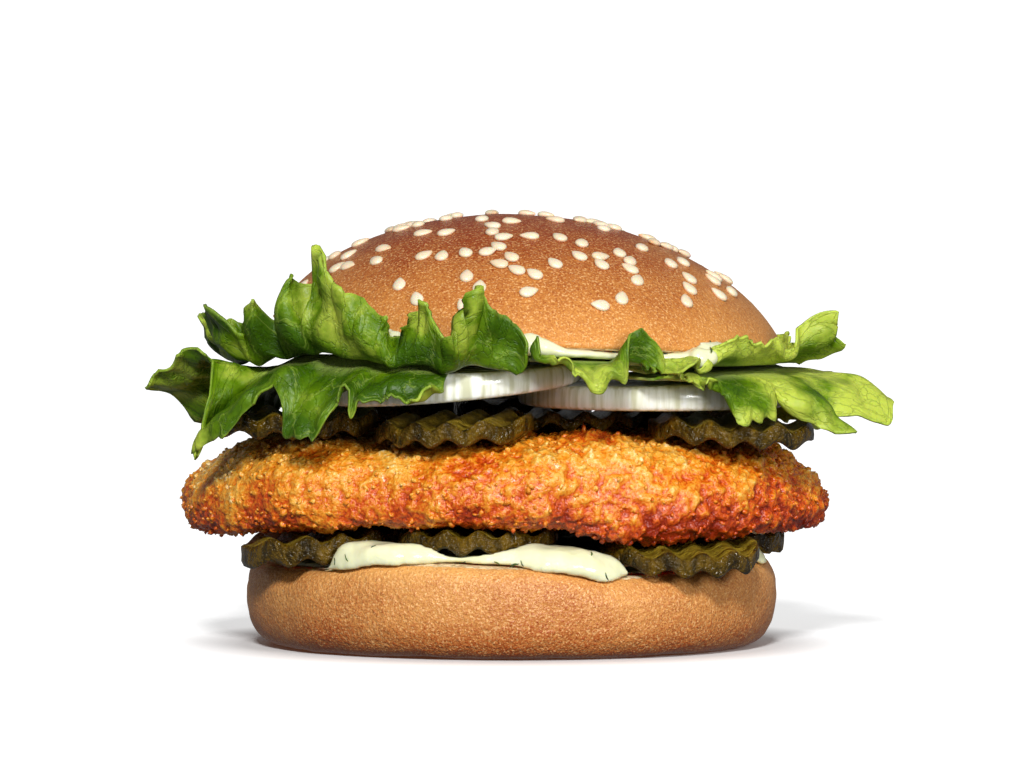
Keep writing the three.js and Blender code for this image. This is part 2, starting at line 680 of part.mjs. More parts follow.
const LEAF_STEPS = [0.34, 0.68, 1];
function leafRib(leaf, rootBearing, [bearing, reach, height]) {
  const [rootX, rootY] = onBearing(rootBearing, leaf.root);
  const [exitX, exitY] = onBearing(rootBearing, leaf.exit);
  const exitHeight = leaf.level(exitX, exitY);
  const bowReach = mix(leaf.exit, reach, leaf.bow.outward);
  const bowHeight = mix(exitHeight, height, leaf.bow.upward) - leaf.bow.drop;
  const curve = (a, b, c, t) => a * (1 - t) ** 2 + 2 * b * t * (1 - t) + c * t * t;
  const bent = LEAF_STEPS.map((t) => [
    ...onBearing(mix(rootBearing, bearing, t), curve(leaf.exit, bowReach, reach, t)),
    curve(exitHeight, bowHeight, height, t),
  ]);
  return [[rootX, rootY, leaf.level(rootX, rootY)], [exitX, exitY, exitHeight], ...bent];
}

function leafGeometry(leaf) {
  const frill = leaf.frill ? frilledEdge(leaf.frill) : [];
  const atBackFirst = leaf.frill && leaf.frill.from < 0;
  const edge = atBackFirst ? [...frill, ...leaf.edge] : [...leaf.edge, ...frill];
  const steps = edge.map((tip, i) => (i ? Math.max(1.6, tip[0] - edge[i - 1][0]) : 0));
  const whole = steps.reduce((sum, step) => sum + step, 0);
  let run = 0;
  const grid = edge.map((tip, i) => {
    run += steps[i];
    return leafRib(leaf, mix(...leaf.roots, run / whole), tip);
  });
  const point = (i, j) => new THREE.Vector3(...grid[i][j]);
  const faces = [-1, 1].map((side) =>
    grid.map((rib, i) =>
      rib.map((_, j) => {
        const around = point(Math.min(i + 1, grid.length - 1), j).sub(point(Math.max(i - 1, 0), j));
        const outward = point(i, Math.min(j + 1, rib.length - 1)).sub(point(i, Math.max(j - 1, 0)));
        const normal = outward.cross(around).normalize();
        return point(i, j).addScaledVector(normal, (side * LEAF_THICKNESS) / 2).toArray();
      }),
    ),
  );
  return slabBody(...faces);
}
for (const leaf of LEAVES) addNode(`lettuce_${leaf.name}`, "lettuce", leafGeometry(leaf));

const burger = new THREE.Group();
burger.name = "chicken_burger";
burger.add(...nodes);
export default burger;
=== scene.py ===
# A chicken burger: a heel bun, herb sauce, crinkle-cut pickles, a fried fillet, more pickles,
# onion slices, frilly lettuce, more sauce and a seeded crown bun, stacked as it is served.
# Everything is laid in metres, +Z up, with the shown side towards -Y. Named sizes of a piece are
# in millimetres and become metres by MM; heights in a browning list are in metres.
import math
import random

import bmesh
import bpy
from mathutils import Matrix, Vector, noise


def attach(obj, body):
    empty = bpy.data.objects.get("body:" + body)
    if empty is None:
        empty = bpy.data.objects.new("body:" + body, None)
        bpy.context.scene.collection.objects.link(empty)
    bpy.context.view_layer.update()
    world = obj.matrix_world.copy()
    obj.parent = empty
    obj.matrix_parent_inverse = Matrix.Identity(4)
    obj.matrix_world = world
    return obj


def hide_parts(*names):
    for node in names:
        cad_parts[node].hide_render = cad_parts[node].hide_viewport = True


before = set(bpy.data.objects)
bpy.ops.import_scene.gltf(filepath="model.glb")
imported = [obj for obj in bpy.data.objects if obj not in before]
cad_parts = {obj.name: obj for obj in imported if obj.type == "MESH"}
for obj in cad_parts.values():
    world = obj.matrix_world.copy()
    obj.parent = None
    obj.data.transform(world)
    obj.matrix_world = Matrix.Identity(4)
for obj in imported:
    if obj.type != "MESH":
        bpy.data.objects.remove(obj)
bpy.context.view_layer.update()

# Heel bun: the flat lower half of a soft wheat bun, sliced through. Its crust is thin, light
# brown and finely pebbled, and darker where it browned against the baking tray.
MM = 0.001
HEEL_CRUST = {"pale": (0.7, 0.34, 0.095, 1), "deep": (0.32, 0.055, 0.006, 1)}
HEEL_BROWNING = [(0.0, 1.15), (0.002, 0.8), (0.008, 0.5), (0.014, 0.38), (0.0175, -0.3)]
# The sliced face: how far it reaches, and how level a face of it is at least.
HEEL_CUT = {"radius": 47, "least_level": 0.8}
# Every noise scale is in cells a metre: 1000 makes cells about a millimetre wide.
CRUST_SCALES = {"grain": 3000, "specks": 2400, "pebbles": 1300, "patches": 75}
# The pale speck colour is a painted glint: small highlights on the crust's grain.
CRUST_SPECK = (0.9, 0.55, 0.24, 1)


def copy_of_solid(name, node):
    """A new piece on a solid's own form, with its loose triangles joined."""
    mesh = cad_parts[node].data.copy()
    mesh.materials.clear()
    piece = bpy.data.objects.new(name, mesh)
    bpy.context.scene.collection.objects.link(piece)
    bm = bmesh.new()
    bm.from_mesh(mesh)
    bmesh.ops.remove_doubles(bm, verts=bm.verts, dist=0.01 * MM)
    bm.to_mesh(mesh)
    bm.free()
    return piece


def piece_from(bm, name):
    """A new piece of the finished form."""
    mesh = bpy.data.meshes.new(name)
    bm.to_mesh(mesh)
    bm.free()
    piece = bpy.data.objects.new(name, mesh)
    bpy.context.scene.collection.objects.link(piece)
    return piece


def keep(piece, kind, **settings):
    """Changes the piece with a modifier and keeps the outcome."""
    change = piece.modifiers.new(kind, kind)
    for key, value in settings.items():
        setattr(change, key, value)
    graph = bpy.context.evaluated_depsgraph_get()
    made = bpy.data.meshes.new_from_object(piece.evaluated_get(graph), depsgraph=graph)
    piece.modifiers.clear()
    piece.data = made


def values_on(piece, value_at):
    """A value for every point of the piece, from where it is."""
    return [value_at(point.co) for point in piece.data.vertices]


def push_out(piece, heights):
    """Moves every point of the piece along its normal, by its own height."""
    points = piece.data.vertices
    moves = [point.normal * height for point, height in zip(points, heights)]
    for point, move in zip(points, moves):
        point.co += move


def dress(piece, slot, nodes, *materials):
    """Gives the piece its finishes and hangs it from the root. The slot is not used."""
    for material in materials:
        piece.data.materials.append(material)
    piece.data.shade_smooth()
    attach(piece, "root")
    if nodes:
        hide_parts(*nodes)


def new_material(name, **values):
    """A material with the values that are the same all over it."""
    material = bpy.data.materials.new(name)
    material.use_nodes = True
    shader = material.node_tree.nodes["Principled BSDF"]
    for socket, value in values.items():
        shader.inputs[socket.replace("_", " ")].default_value = value
    return material


def add(tree, kind, values=None, **settings):
    """A shader node with its settings and socket values."""
    made = tree.nodes.new("ShaderNode" + kind)
    for key, value in settings.items():
        setattr(made, key, value)
    for socket, value in (values or {}).items():
        made.inputs[socket].default_value = value
    return made


def noise_at(tree, vector, scale, detail=2.0, distortion=0.0):
    """Uneven values from 0 to 1, finer as the scale rises."""
    values = {"Scale": scale, "Detail": detail, "Distortion": distortion}
    made = add(tree, "TexNoise", values)
    tree.links.new(vector, made.inputs["Vector"])
    return made.outputs["Fac"]


def share_from(tree, source, low, high, most=1.0):
    """0 where the source is at low, rising to the most at high."""
    made = add(tree, "MapRange", {"From Min": low, "From Max": high, "To Max": most})
    tree.links.new(source, made.inputs["Value"])
    return made.outputs[0]


def ramp(tree, source, *stops):
    """Colours by value, from stops of a place and a colour."""
    made = add(tree, "ValToRGB")
    elements = made.color_ramp.elements
    while len(elements) < len(stops):
        elements.new(0.5)
    for element, (place, color) in zip(elements, stops):
        element.position = place
        element.color = color
    tree.links.new(source, made.inputs["Fac"])
    return made.outputs["Color"]


def sum_of(tree, start, *parts):
    """start and the parts, each a value from a node times its share."""
    total = start
    for source, share in parts:
        made = add(tree, "Math", {1: share}, operation="MULTIPLY_ADD")
        tree.links.new(source, made.inputs[0])
        if isinstance(total, float):
            made.inputs[2].default_value = total
        else:
            tree.links.new(total, made.inputs[2])
        total = made.outputs[0]
    return total


def blend_colors(tree, share, first, second):
    """A colour between two, by a value from 0 to 1."""
    made = add(tree, "Mix", data_type="RGBA")
    tree.links.new(share, made.inputs["Factor"])
    for index, color in ((6, first), (7, second)):
        if isinstance(color, tuple):
            made.inputs[index].default_value = color
        else:
            tree.links.new(color, made.inputs[index])
    return made.outputs[2]


def bump(material, height, distance, strength=1.0):
    """Raises the finish by a height from 0 to 1, at most by the distance."""
    tree = material.node_tree
    made = add(tree, "Bump", {"Distance": distance, "Strength": strength})
    tree.links.new(height, made.inputs["Height"])
    tree.links.new(made.outputs["Normal"], tree.nodes["Principled BSDF"].inputs["Normal"])


def bake_crust():
    """The baked bread crust that both bun halves share: pebbled, with browner patches and pale specks
    painted in as glints.
    """
    group = bpy.data.node_groups.new("bread_crust", "ShaderNodeTree")
    for name, kind in (("Pale", "Color"), ("Deep", "Color"), ("Browning", "Float")):
        group.interface.new_socket(name, in_out="INPUT", socket_type="NodeSocket" + kind)
    for name, kind in (("Color", "Color"), ("Roughness", "Float"), ("Height", "Float")):
        group.interface.new_socket(name, in_out="OUTPUT", socket_type="NodeSocket" + kind)
    inputs = group.nodes.new("NodeGroupInput")
    outputs = group.nodes.new("NodeGroupOutput")
    place = add(group, "TexCoord").outputs["Object"]
    grain = noise_at(group, place, CRUST_SCALES["grain"], 2.0)
    pebbles = noise_at(group, place, CRUST_SCALES["pebbles"], 2.0)
    patches = noise_at(group, place, CRUST_SCALES["patches"], 3.0, 0.6)
    browning = sum_of(
        group, -1.35, (inputs.outputs["Browning"], 1.0), (grain, 1.5), (pebbles, 0.5),
        (patches, 0.7),
    )
    share = add(group, "Clamp")
    group.links.new(browning, share.inputs["Value"])
    color = blend_colors(group, share.outputs[0], inputs.outputs["Pale"], inputs.outputs["Deep"])
    # Pale specks at the grain's peaks: painted glints.
    specks = share_from(group, noise_at(group, place, CRUST_SCALES["specks"], 1.0), 0.56, 0.7, 0.55)
    color = blend_colors(group, specks, color, CRUST_SPECK)
    group.links.new(color, outputs.inputs["Color"])
    group.links.new(sum_of(group, 0.0, (grain, 0.7)), outputs.inputs["Roughness"])
    group.links.new(sum_of(group, 0.0, (grain, 0.4), (pebbles, 0.8)), outputs.inputs["Height"])
    return group


bread_crust = bake_crust()


def by_height(tree, *stops):
    """A value by height in the stack, from stops of a height and a value."""
    place = add(tree, "SeparateXYZ")
    tree.links.new(add(tree, "TexCoord").outputs["Object"], place.inputs[0])
    low, high = stops[0][0], stops[-1][0]
    share = share_from(tree, place.outputs["Z"], low, high)
    grey = [((z - low) / (high - low), (value, value, value, 1)) for z, value in stops]
    return ramp(tree, share, *grey)


def crust_material(name, crust, browning, relief, **values):
    """A bun half's crust. The list by height says how much browner it is at each height; on the crown
    it also makes the foot of the dome paler, a painted highlight.
    """
    material = new_material(name, **values)
    tree = material.node_tree
    shader = tree.nodes["Principled BSDF"]
    baked = add(tree, "Group", node_tree=bread_crust)
    baked.inputs["Pale"].default_value = crust["pale"]
    baked.inputs["Deep"].default_value = crust["deep"]
    tree.links.new(by_height(tree, *browning), baked.inputs["Browning"])
    tree.links.new(baked.outputs["Color"], shader.inputs["Base Color"])
    tree.links.new(baked.outputs["Roughness"], shader.inputs["Roughness"])
    bump(material, baked.outputs["Height"], relief, 0.6)
    return material


def crumb_material():
    """The sliced face of a bun half: open, cream-coloured bread, lightly toasted."""
    material = new_material("bread_crumb", Roughness=0.8, Subsurface_Weight=0.2)
    tree = material.node_tree
    place = add(tree, "TexCoord").outputs["Object"]
    pores = noise_at(tree, place, 900, 4.0, 0.4)
    color = ramp(tree, pores, (0.3, (0.42, 0.22, 0.08, 1)), (0.6, (0.83, 0.62, 0.36, 1)))
    tree.links.new(color, tree.nodes["Principled BSDF"].inputs["Base Color"])
    bump(material, pores, 0.5 * MM, 0.7)
    return material


def crust_swell(at):
    """How far the crust swells and dips past the smoothed solid."""
    return 0.35 * MM * noise.noise(at * 90) + 0.12 * MM * noise.noise(at * 400)


heel_crust = crust_material(
    "heel_crust", HEEL_CRUST, HEEL_BROWNING, 0.7 * MM, Specular_IOR_Level=0.3,
)
bread_crumb = crumb_material()

heel = copy_of_solid("heel_bun", "bun_heel")
keep(heel, "SUBSURF", levels=3, render_levels=3)
push_out(heel, values_on(heel, crust_swell))
dress(heel, "heel", ["bun_heel"], heel_crust, bread_crumb)
for face in heel.data.polygons:
    is_level = face.normal.z > HEEL_CUT["least_level"]
    if is_level and math.hypot(face.center.x, face.center.y) < HEEL_CUT["radius"] * MM:
        face.material_index = 1

# Sauce: a smooth cool herb mayonnaise, spread on both sliced faces, with chopped herb in it. It
# swells out between the slices and up round the crown's rim.
SAUCE = {"pale": (0.84, 0.84, 0.6, 1), "deep": (0.62, 0.64, 0.36, 1)}
SAUCE_BLEND = {"voxel": 0.45, "smoothing": 8}
# Where the upper sauce bulges out between two leaves: the middle and the radius of each blob.
UPPER_BLOBS = [((34.6, -39.3, 55.4), 2.1), ((36.2, -39, 55.6), 1.8)]
HERB_FLECKS = {
    "count": 170, "half_length": (0.6, 1.5), "half_width": (0.12, 0.24), "half_thick": 0.12,
    "bend": 0.25, "from_axis": 39, "draw": 12,
}


def sauce_material():
    """Glossy cream with faint clouds and pits in it."""
    material = new_material(
        "herb_sauce", Roughness=0.15, Coat_Weight=0.1, Coat_Roughness=0.08,
        Subsurface_Weight=0.4, Subsurface_Scale=1.5 * MM,
    )
    tree = material.node_tree
    shader = tree.nodes["Principled BSDF"]
    shader.inputs["Subsurface Radius"].default_value = (1.0, 0.9, 0.5)
    place = add(tree, "TexCoord").outputs["Object"]
    clouds = noise_at(tree, place, 160, 2.0)
    pits = noise_at(tree, place, 700, 2.0, 0.5)
    cream = blend_colors(tree, clouds, SAUCE["deep"], SAUCE["pale"])
    tree.links.new(cream, shader.inputs["Base Color"])
    bump(material, sum_of(tree, 0.0, (clouds, 0.6), (pits, 0.4)), 0.5 * MM, 0.5)
    return material


def herb_material():
    """Chopped herb, dark green and wet."""
    material = new_material("chopped_herb", Roughness=0.4, Coat_Weight=0.3, Coat_Roughness=0.1)
    tree = material.node_tree
    tones = noise_at(tree, add(tree, "TexCoord").outputs["Object"], 900, 2.0)
    green = ramp(tree, tones, (0.35, (0.012, 0.03, 0.004, 1)), (0.65, (0.07, 0.13, 0.02, 1)))
    tree.links.new(green, tree.nodes["Principled BSDF"].inputs["Base Color"])
    return material


herb_sauce = sauce_material()


def sauce_swell(at):
    """How far the sauce swells and dips past the smoothed solid."""
    return MM * (0.25 + 0.45 * noise.noise(at * 150) + 0.2 * noise.noise(at * 400))


def spread_sauce(name, node, blobs=()):
    """The solid's own form, drawn smooth, with any round blobs of it sunk in."""
    sauce = copy_of_solid(name, node)
    bm = bmesh.new()
    bm.from_mesh(sauce.data)
    for middle, radius in blobs:
        corners = bmesh.ops.create_icosphere(bm, subdivisions=4, radius=radius * MM)["verts"]
        bmesh.ops.translate(bm, verts=corners, vec=MM * Vector(middle))
    bm.to_mesh(sauce.data)
    bm.free()
    keep(sauce, "SUBSURF", levels=1, render_levels=1)
    keep(sauce, "REMESH", mode="VOXEL", voxel_size=SAUCE_BLEND["voxel"] * MM)
    keep(sauce, "SMOOTH", factor=0.5, iterations=SAUCE_BLEND["smoothing"])
    push_out(sauce, values_on(sauce, sauce_swell))
    dress(sauce, "sauce", [node], herb_sauce)
    return sauce


def strew_herbs(sauces):
    """Slender flecks of herb, pressed into the sauces' rims and turned every way."""
    draw = random.Random(HERB_FLECKS["draw"])
    spots = [
        point for sauce in sauces for point in sauce.data.vertices
        if point.co.xy.length > HERB_FLECKS["from_axis"] * MM
    ]
    fleck = bpy.data.meshes.new("fleck")
    bm = bmesh.new()
    for _ in range(HERB_FLECKS["count"]):
        point = draw.choice(spots)
        long = point.normal.cross(Vector([draw.uniform(-1, 1) for _ in range(3)])).normalized()
        wide = point.normal.cross(long)
        half_length = draw.uniform(*HERB_FLECKS["half_length"])
        half_width = draw.uniform(*HERB_FLECKS["half_width"])
        single = bmesh.new()
        for corner in bmesh.ops.create_icosphere(single, subdivisions=1, radius=1)["verts"]:
            along, across, up = corner.co
            bend = HERB_FLECKS["bend"] * half_length * along**2
            corner.co = point.co + MM * (
                half_length * along * long
                + (half_width * across + bend) * wide
                + HERB_FLECKS["half_thick"] * up * point.normal
            )
        single.to_mesh(fleck)
        single.free()
        bm.from_mesh(fleck)
    herbs = piece_from(bm, "herb_flecks")
    dress(herbs, "sauce", [], herb_material())


lower_sauce = spread_sauce("lower_sauce", "sauce_lower")
upper_sauce = spread_sauce("upper_sauce", "sauce_upper", UPPER_BLOBS)
strew_herbs([lower_sauce, upper_sauce])

# Pickles: slices of gherkin, cut with a crinkled blade and drained but still wet. Each is a
# ridged disc with a dark skin round it. Seven lie on the fillet and six under it. A row says the
# slice's name, middle, radius, height, rise along X and Y, and the turn of its ridges.
PICKLES = [
    ("pickle_lower_left", (-35, -19), 15.3, 19.6, (0.085, 0), 8),
    ("pickle_lower_front", (-6.3, -30), 14.8, 21.6, (0, 0.01), -6),
    ("pickle_lower_right", (31, -30), 14.8, 18.9, (-0.03, 0.1), 10),
    ("pickle_lower_far_right", (36, 6.5), 15, 20.1, (-0.07, 0), 62),
    ("pickle_lower_back_left", (-25, 24), 15.2, 20.5, (0.05, -0.03), 35),
    ("pickle_lower_back", (8, 32), 15, 21, (0, -0.03), -20),
    ("pickle_upper_left", (-40, -19), 15.4, 42.6, (0.01, 0.01), 4),
    ("pickle_upper_front", (-10.6, -31), 14.6, 42, (0.035, 0.03), -12),
    ("pickle_upper_middle", (11, -9), 13.4, 42.8, (0, 0), 5),
    ("pickle_upper_right", (40.6, -21), 15.4, 41.2, (-0.06, 0.02), 3),
    ("pickle_upper_back_right", (31, 22), 15, 41.9, (-0.05, -0.03), 40),
    ("pickle_upper_back_left", (-26, 23), 15, 42.2, (0.02, -0.02), -30),
    ("pickle_upper_back", (1.6, 32), 13.6, 42.4, (0, -0.02), 15),
]
PICKLE_THICKNESS = 3.3
OTHER_THICKNESSES = {"pickle_lower_left": 4.1, "pickle_upper_middle": 2.2}
CRINKLE = {"pitch": 6.2, "height": 0.75}
PICKLE_RIM = {"rounding": 0.035, "wobble": 0.012, "cuts": 5}
PICKLE_FLESH = {"deep": (0.09, 0.055, 0.002, 1), "pale": (0.35, 0.24, 0.022, 1)}
PICKLE_SKIN = {"deep": (0.016, 0.009, 0.0004, 1), "pale": (0.135, 0.075, 0.004, 1)}


def pickle_material(name, tones, grain, streak):
    """Wet gherkin. A streak under 1 draws the mottling out up and down."""
    material = new_material(
        name, Roughness=0.12, Specular_IOR_Level=0.3,
        Subsurface_Weight=0.3, Subsurface_Scale=1.2 * MM,
    )
    tree = material.node_tree
    shader = tree.nodes["Principled BSDF"]
    shader.inputs["Subsurface Radius"].default_value = (1.0, 0.8, 0.2)
    coords = add(tree, "TexCoord")
    drawn = add(tree, "Mapping")
    drawn.inputs["Scale"].default_value = (1, 1, streak)
    tree.links.new(coords.outputs["Object"], drawn.inputs["Vector"])
    spots = noise_at(tree, drawn.outputs[0], grain, 3.0, 0.5)
    beads = noise_at(tree, coords.outputs["Object"], 1300, 2.0)
    color = ramp(tree, spots, (0.35, tones["deep"]), (0.68, tones["pale"]))
    tree.links.new(color, shader.inputs["Base Color"])
    bump(material, sum_of(tree, 0.0, (spots, 0.4), (beads, 0.6)), 1.8 * MM, 1.0)
    return material


pickle_flesh = pickle_material("pickle_flesh", PICKLE_FLESH, 420, 1.0)
pickle_skin = pickle_material("pickle_skin", PICKLE_SKIN, 480, 0.45)


def flat_disc():
    """A disc of radius 1 and thickness 1, with skin round it: a square grid drawn round."""
    bm = bmesh.new()
    bmesh.ops.create_grid(bm, x_segments=72, y_segments=36, size=1)
    for point in bm.verts:
        x, y = point.co.xy
        point.co.x = x * math.sqrt(1 - y * y / 2)
        point.co.y = y * math.sqrt(1 - x * x / 2)
    lifted = bmesh.ops.extrude_face_region(bm, geom=bm.faces[:], use_keep_orig=True)["geom"]
    for point in lifted:
        if isinstance(point, bmesh.types.BMVert):
            point.co.z = 1
    bmesh.ops.recalc_face_normals(bm, faces=bm.faces)
    uprights = [edge for edge in bm.edges if abs(edge.verts[0].co.z - edge.verts[1].co.z) > 0.5]
    bmesh.ops.subdivide_edges(bm, edges=uprights, cuts=PICKLE_RIM["cuts"])
    for face in bm.faces:
        face.material_index = int(abs(face.normal.z) < 0.5)
    return bm


def cut_pickle(name, at, radius, z, rise, turn):
    """One slice, its ridges turned and its middle laid at the height."""
    thickness = OTHER_THICKNESSES.get(name, PICKLE_THICKNESS)
    bm = flat_disc()
    swing = math.radians(turn)
    seed = Vector((at[0], at[1], z))
    for point in bm.verts:
        upward = 2 * point.co.z - 1
        round_off = 1 - PICKLE_RIM["rounding"] * upward**6 * point.co.xy.length**8
        wobble = PICKLE_RIM["wobble"] * noise.noise(seed + 2.5 * point.co)
        across, along = radius * (round_off + wobble) * point.co.xy
        wave = CRINKLE["height"] * math.sin(2 * math.pi * across / CRINKLE["pitch"])
        dx = across * math.cos(swing) - along * math.sin(swing)
        dy = across * math.sin(swing) + along * math.cos(swing)
        middle = z + rise[0] * dx + rise[1] * dy
        height = middle + wave + upward * thickness / 2
        point.co = MM * Vector((at[0] + dx, at[1] + dy, height))
    slice_piece = piece_from(bm, name.replace("pickle_", "pickle_slice_"))
    dress(slice_piece, "pickle", [name], pickle_flesh, pickle_skin)


for pickle in PICKLES:
    cut_pickle(*pickle)

# Fillet: a boneless chicken fillet in a shaggy flour-and-crumb coating, deep fried. The coating
# is a mass of nodules and flakes, golden on their crests and red-brown in the clefts, where the
# red-brown is painted shade. The colour list below runs from the shaded clefts to the crests.
FRIED = [
    (0.0, (0.24, 0.014, 0.001, 1)),
    (0.26, (0.56, 0.07, 0.002, 1)),
    (0.5, (0.71, 0.24, 0.01, 1)),
    (0.73, (0.79, 0.42, 0.06, 1)),
    (0.95, (0.92, 0.72, 0.38, 1)),
]
COATING = {"voxel": 0.55, "smoothing": 6, "relief": 1.5, "sunk": 0.45, "seed": 7}
# Painted shade by height: the coating is darker at its foot and at its top, where the upper pickles
# shade it.
COATING_LIGHT = [(0.0205, -0.3), (0.0265, 0.5), (0.033, 0.95), (0.0395, 1.0), (0.0425, 0.1)]
CRUMBS = {"count": 2600, "least": 0.28, "spread": 0.35, "drawn_out": 0.6, "draw": 41}


def smooth(low, high, value):
    """0 below low and 1 above high, with a soft step between."""
    share = min(1, max(0, (value - low) / (high - low)))
    return share * share * (3 - 2 * share)


# Without a seed of its own, noise_vector would warp the nodules another way on each run.
noise.seed_set(COATING["seed"])


def crags_at(at):
    """How far the coating stands out, as a share of its greatest relief."""
    lumps = noise.noise(at * 150)
    flakes = 1 - 3 * abs(noise.noise(at * 330 + Vector((3, 1, 7))))
    warp = at + 0.9 * MM * noise.noise_vector(at * 500)
    nodules = 1 - min(1, noise.voronoi(warp * 480)[0][0] * 1.4)
    grains = 1 - min(1, noise.voronoi(warp * 950)[0][0] * 1.4)
    shaggy = 0.65 + 0.35 * smooth(-0.02, 0.02, at.x)
    return 0.45 * lumps + shaggy * (0.2 * flakes + 0.75 * nodules) + 0.35 * grains


def fry_material():
    """The coating, golden on crests, with painted shade in its clefts, at its foot and at its top
    under the pickles, and painted light that leaves it lighter to the left and darker to the right.
    """
    material = new_material(
        "fried_coating", Coat_Weight=0.15, Coat_Roughness=0.16,
        Subsurface_Weight=0.15, Subsurface_Scale=1.0 * MM,
    )
    tree = material.node_tree
    shader = tree.nodes["Principled BSDF"]
    shader.inputs["Subsurface Radius"].default_value = (1.0, 0.4, 0.1)
    # The share of relief darkens the clefts: painted shade.
    crag = add(tree, "Attribute", attribute_name="crag").outputs["Fac"]
    place = add(tree, "TexCoord").outputs["Object"]
    grain = noise_at(tree, place, 1700, 3.0)
    patches = noise_at(tree, place, 60, 2.0)
    # Darker at the foot and under the upper pickles: painted shade.
    layer = by_height(tree, *COATING_LIGHT)
    # Lighter to the left and darker to the right: painted light.
    side = add(tree, "SeparateXYZ")
    tree.links.new(place, side.inputs[0])
    value = sum_of(
        tree, -0.96, (crag, 0.6), (grain, 0.85), (patches, 0.62), (layer, 0.48),
        (side.outputs["X"], -2.3),
    )
    tree.links.new(ramp(tree, value, *FRIED), shader.inputs["Base Color"])
    tree.links.new(sum_of(tree, 0.05, (grain, 0.45)), shader.inputs["Roughness"])
    bump(material, grain, 0.45 * MM, 0.9)
    return material


fried_coating = fry_material()


def paint_crags(piece, values):
    """Keeps each point's share of relief, which the coating's colour follows as painted shade, darker
    in the clefts.
    """
    crag = piece.data.attributes.new("crag", "FLOAT", "POINT")
    crag.data.foreach_set("value", values)


fillet = copy_of_solid("fried_fillet", "chicken_fillet")
keep(fillet, "SUBSURF", levels=2, render_levels=2)
keep(fillet, "REMESH", mode="VOXEL", voxel_size=COATING["voxel"] * MM)
keep(fillet, "SMOOTH", factor=0.5, iterations=COATING["smoothing"])
crags = values_on(fillet, crags_at)
push_out(fillet, [COATING["relief"] * MM * (crag - COATING["sunk"]) for crag in crags])
paint_crags(fillet, [0.15 + 0.85 * crag for crag in crags])
dress(fillet, "fillet", ["chicken_fillet"], fried_coating)


def scatter_crumbs():
    """Loose crumbs and slivers of the coating that stand proud of it."""
    draw = random.Random(CRUMBS["draw"])
    points = fillet.data.vertices
    crumb = bpy.data.meshes.new("crumb")
    bm = bmesh.new()
    for _ in range(CRUMBS["count"]):
        point = points[draw.randrange(len(points))]
        size = MM * (CRUMBS["least"] + CRUMBS["spread"] * draw.random() ** 2)
        shift = Vector([draw.uniform(-40, 40) for _ in range(3)])
        sliver = Vector([draw.uniform(-1, 1) for _ in range(3)]).normalized()
        single = bmesh.new()
        for corner in bmesh.ops.create_icosphere(single, subdivisions=1, radius=1)["verts"]:
            stretch = 1 + 0.7 * noise.noise(1.3 * corner.co + shift)
            drawn_out = corner.co + CRUMBS["drawn_out"] * corner.co.dot(sliver) * sliver
            corner.co = point.co + size * stretch * drawn_out
        single.to_mesh(crumb)
        single.free()
        bm.from_mesh(crumb)
    crumbs = piece_from(bm, "loose_crumbs")
    paint_crags(crumbs, values_on(crumbs, lambda at: 0.62 + 0.3 * noise.noise(500 * at)))
    dress(crumbs, "fillet", [], fried_coating)


scatter_crumbs()

# Onion: raw white onion, sliced across. Each slice is one disc of rings that still hold
# together, wet and milky, with fine fibres down its side. A row says the slice's name, middle,
# radius, height, rise along X and Y, and its thickness and how much that grows along X.
ONIONS = [
    ("onion_right", (27.2, -10.5), 26, 45.4, (0, 0), (4.7, 0.02)),
    ("onion_left", (-11, -22), 24, 48.3, (0.09, 0.03), (5.2, -0.058)),
    ("onion_back", (-4, 26.5), 21, 45.4, (0.01, 0), (4.6, 0)),
]
ONION_RINGS = [0.79, 0.62, 0.46, 0.3, 0.15]
RING_GROOVE = {"half_width": 0.02, "floor": 0.93}


def onion_profile():
    """The slice's section, outward and upward, from the axis below to the axis above."""
    section = [(0, 0), (0.5, 0), (0.95, 0), (0.985, 0.05), (1, 0.16), (1.002, 0.5)]
    section += [(0.996, 0.84), (0.98, 0.96), (0.95, 1)]
    for ring in ONION_RINGS:
        half = RING_GROOVE["half_width"]
        section += [(ring + half, 1), (ring, RING_GROOVE["floor"]), (ring - half, 1)]
    return section + [(0, 1)]


def turned(profile, steps, joined):
    """A round body, from its section outward and upward, turned about the axis."""
    bm = bmesh.new()
    section = [bm.verts.new((outward, 0, upward)) for outward, upward in profile]
    edges = [bm.edges.new(pair) for pair in zip(section, section[1:])]
    bmesh.ops.spin(
        bm, geom=section + edges, cent=(0, 0, 0), axis=(0, 0, 1), angle=2 * math.pi, steps=steps,
        use_merge=True,
    )
    bmesh.ops.remove_doubles(bm, verts=bm.verts, dist=joined)
    bmesh.ops.recalc_face_normals(bm, faces=bm.faces)
    return bm


def onion_material():
    """Milky flesh with fibres that run straight up and down."""
    material = new_material(
        "onion_flesh", Roughness=0.16, Coat_Weight=0.15, Coat_Roughness=0.1,
        Subsurface_Weight=0.6, Subsurface_Scale=3.0 * MM,
    )
    tree = material.node_tree
    shader = tree.nodes["Principled BSDF"]
    shader.inputs["Subsurface Radius"].default_value = (1.0, 0.95, 0.8)
    place = add(tree, "TexCoord").outputs["Object"]
    down = add(tree, "Mapping")
    down.inputs["Scale"].default_value = (1, 1, 0.06)
    tree.links.new(place, down.inputs["Vector"])
    fibres = noise_at(tree, down.outputs[0], 800, 4.0)
    color = ramp(tree, fibres, (0.36, (0.6, 0.6, 0.42, 1)), (0.6, (0.93, 0.94, 0.84, 1)))
    tree.links.new(color, shader.inputs["Base Color"])
    bump(material, fibres, 0.14 * MM, 0.4)
    return material


onion_flesh = onion_material()


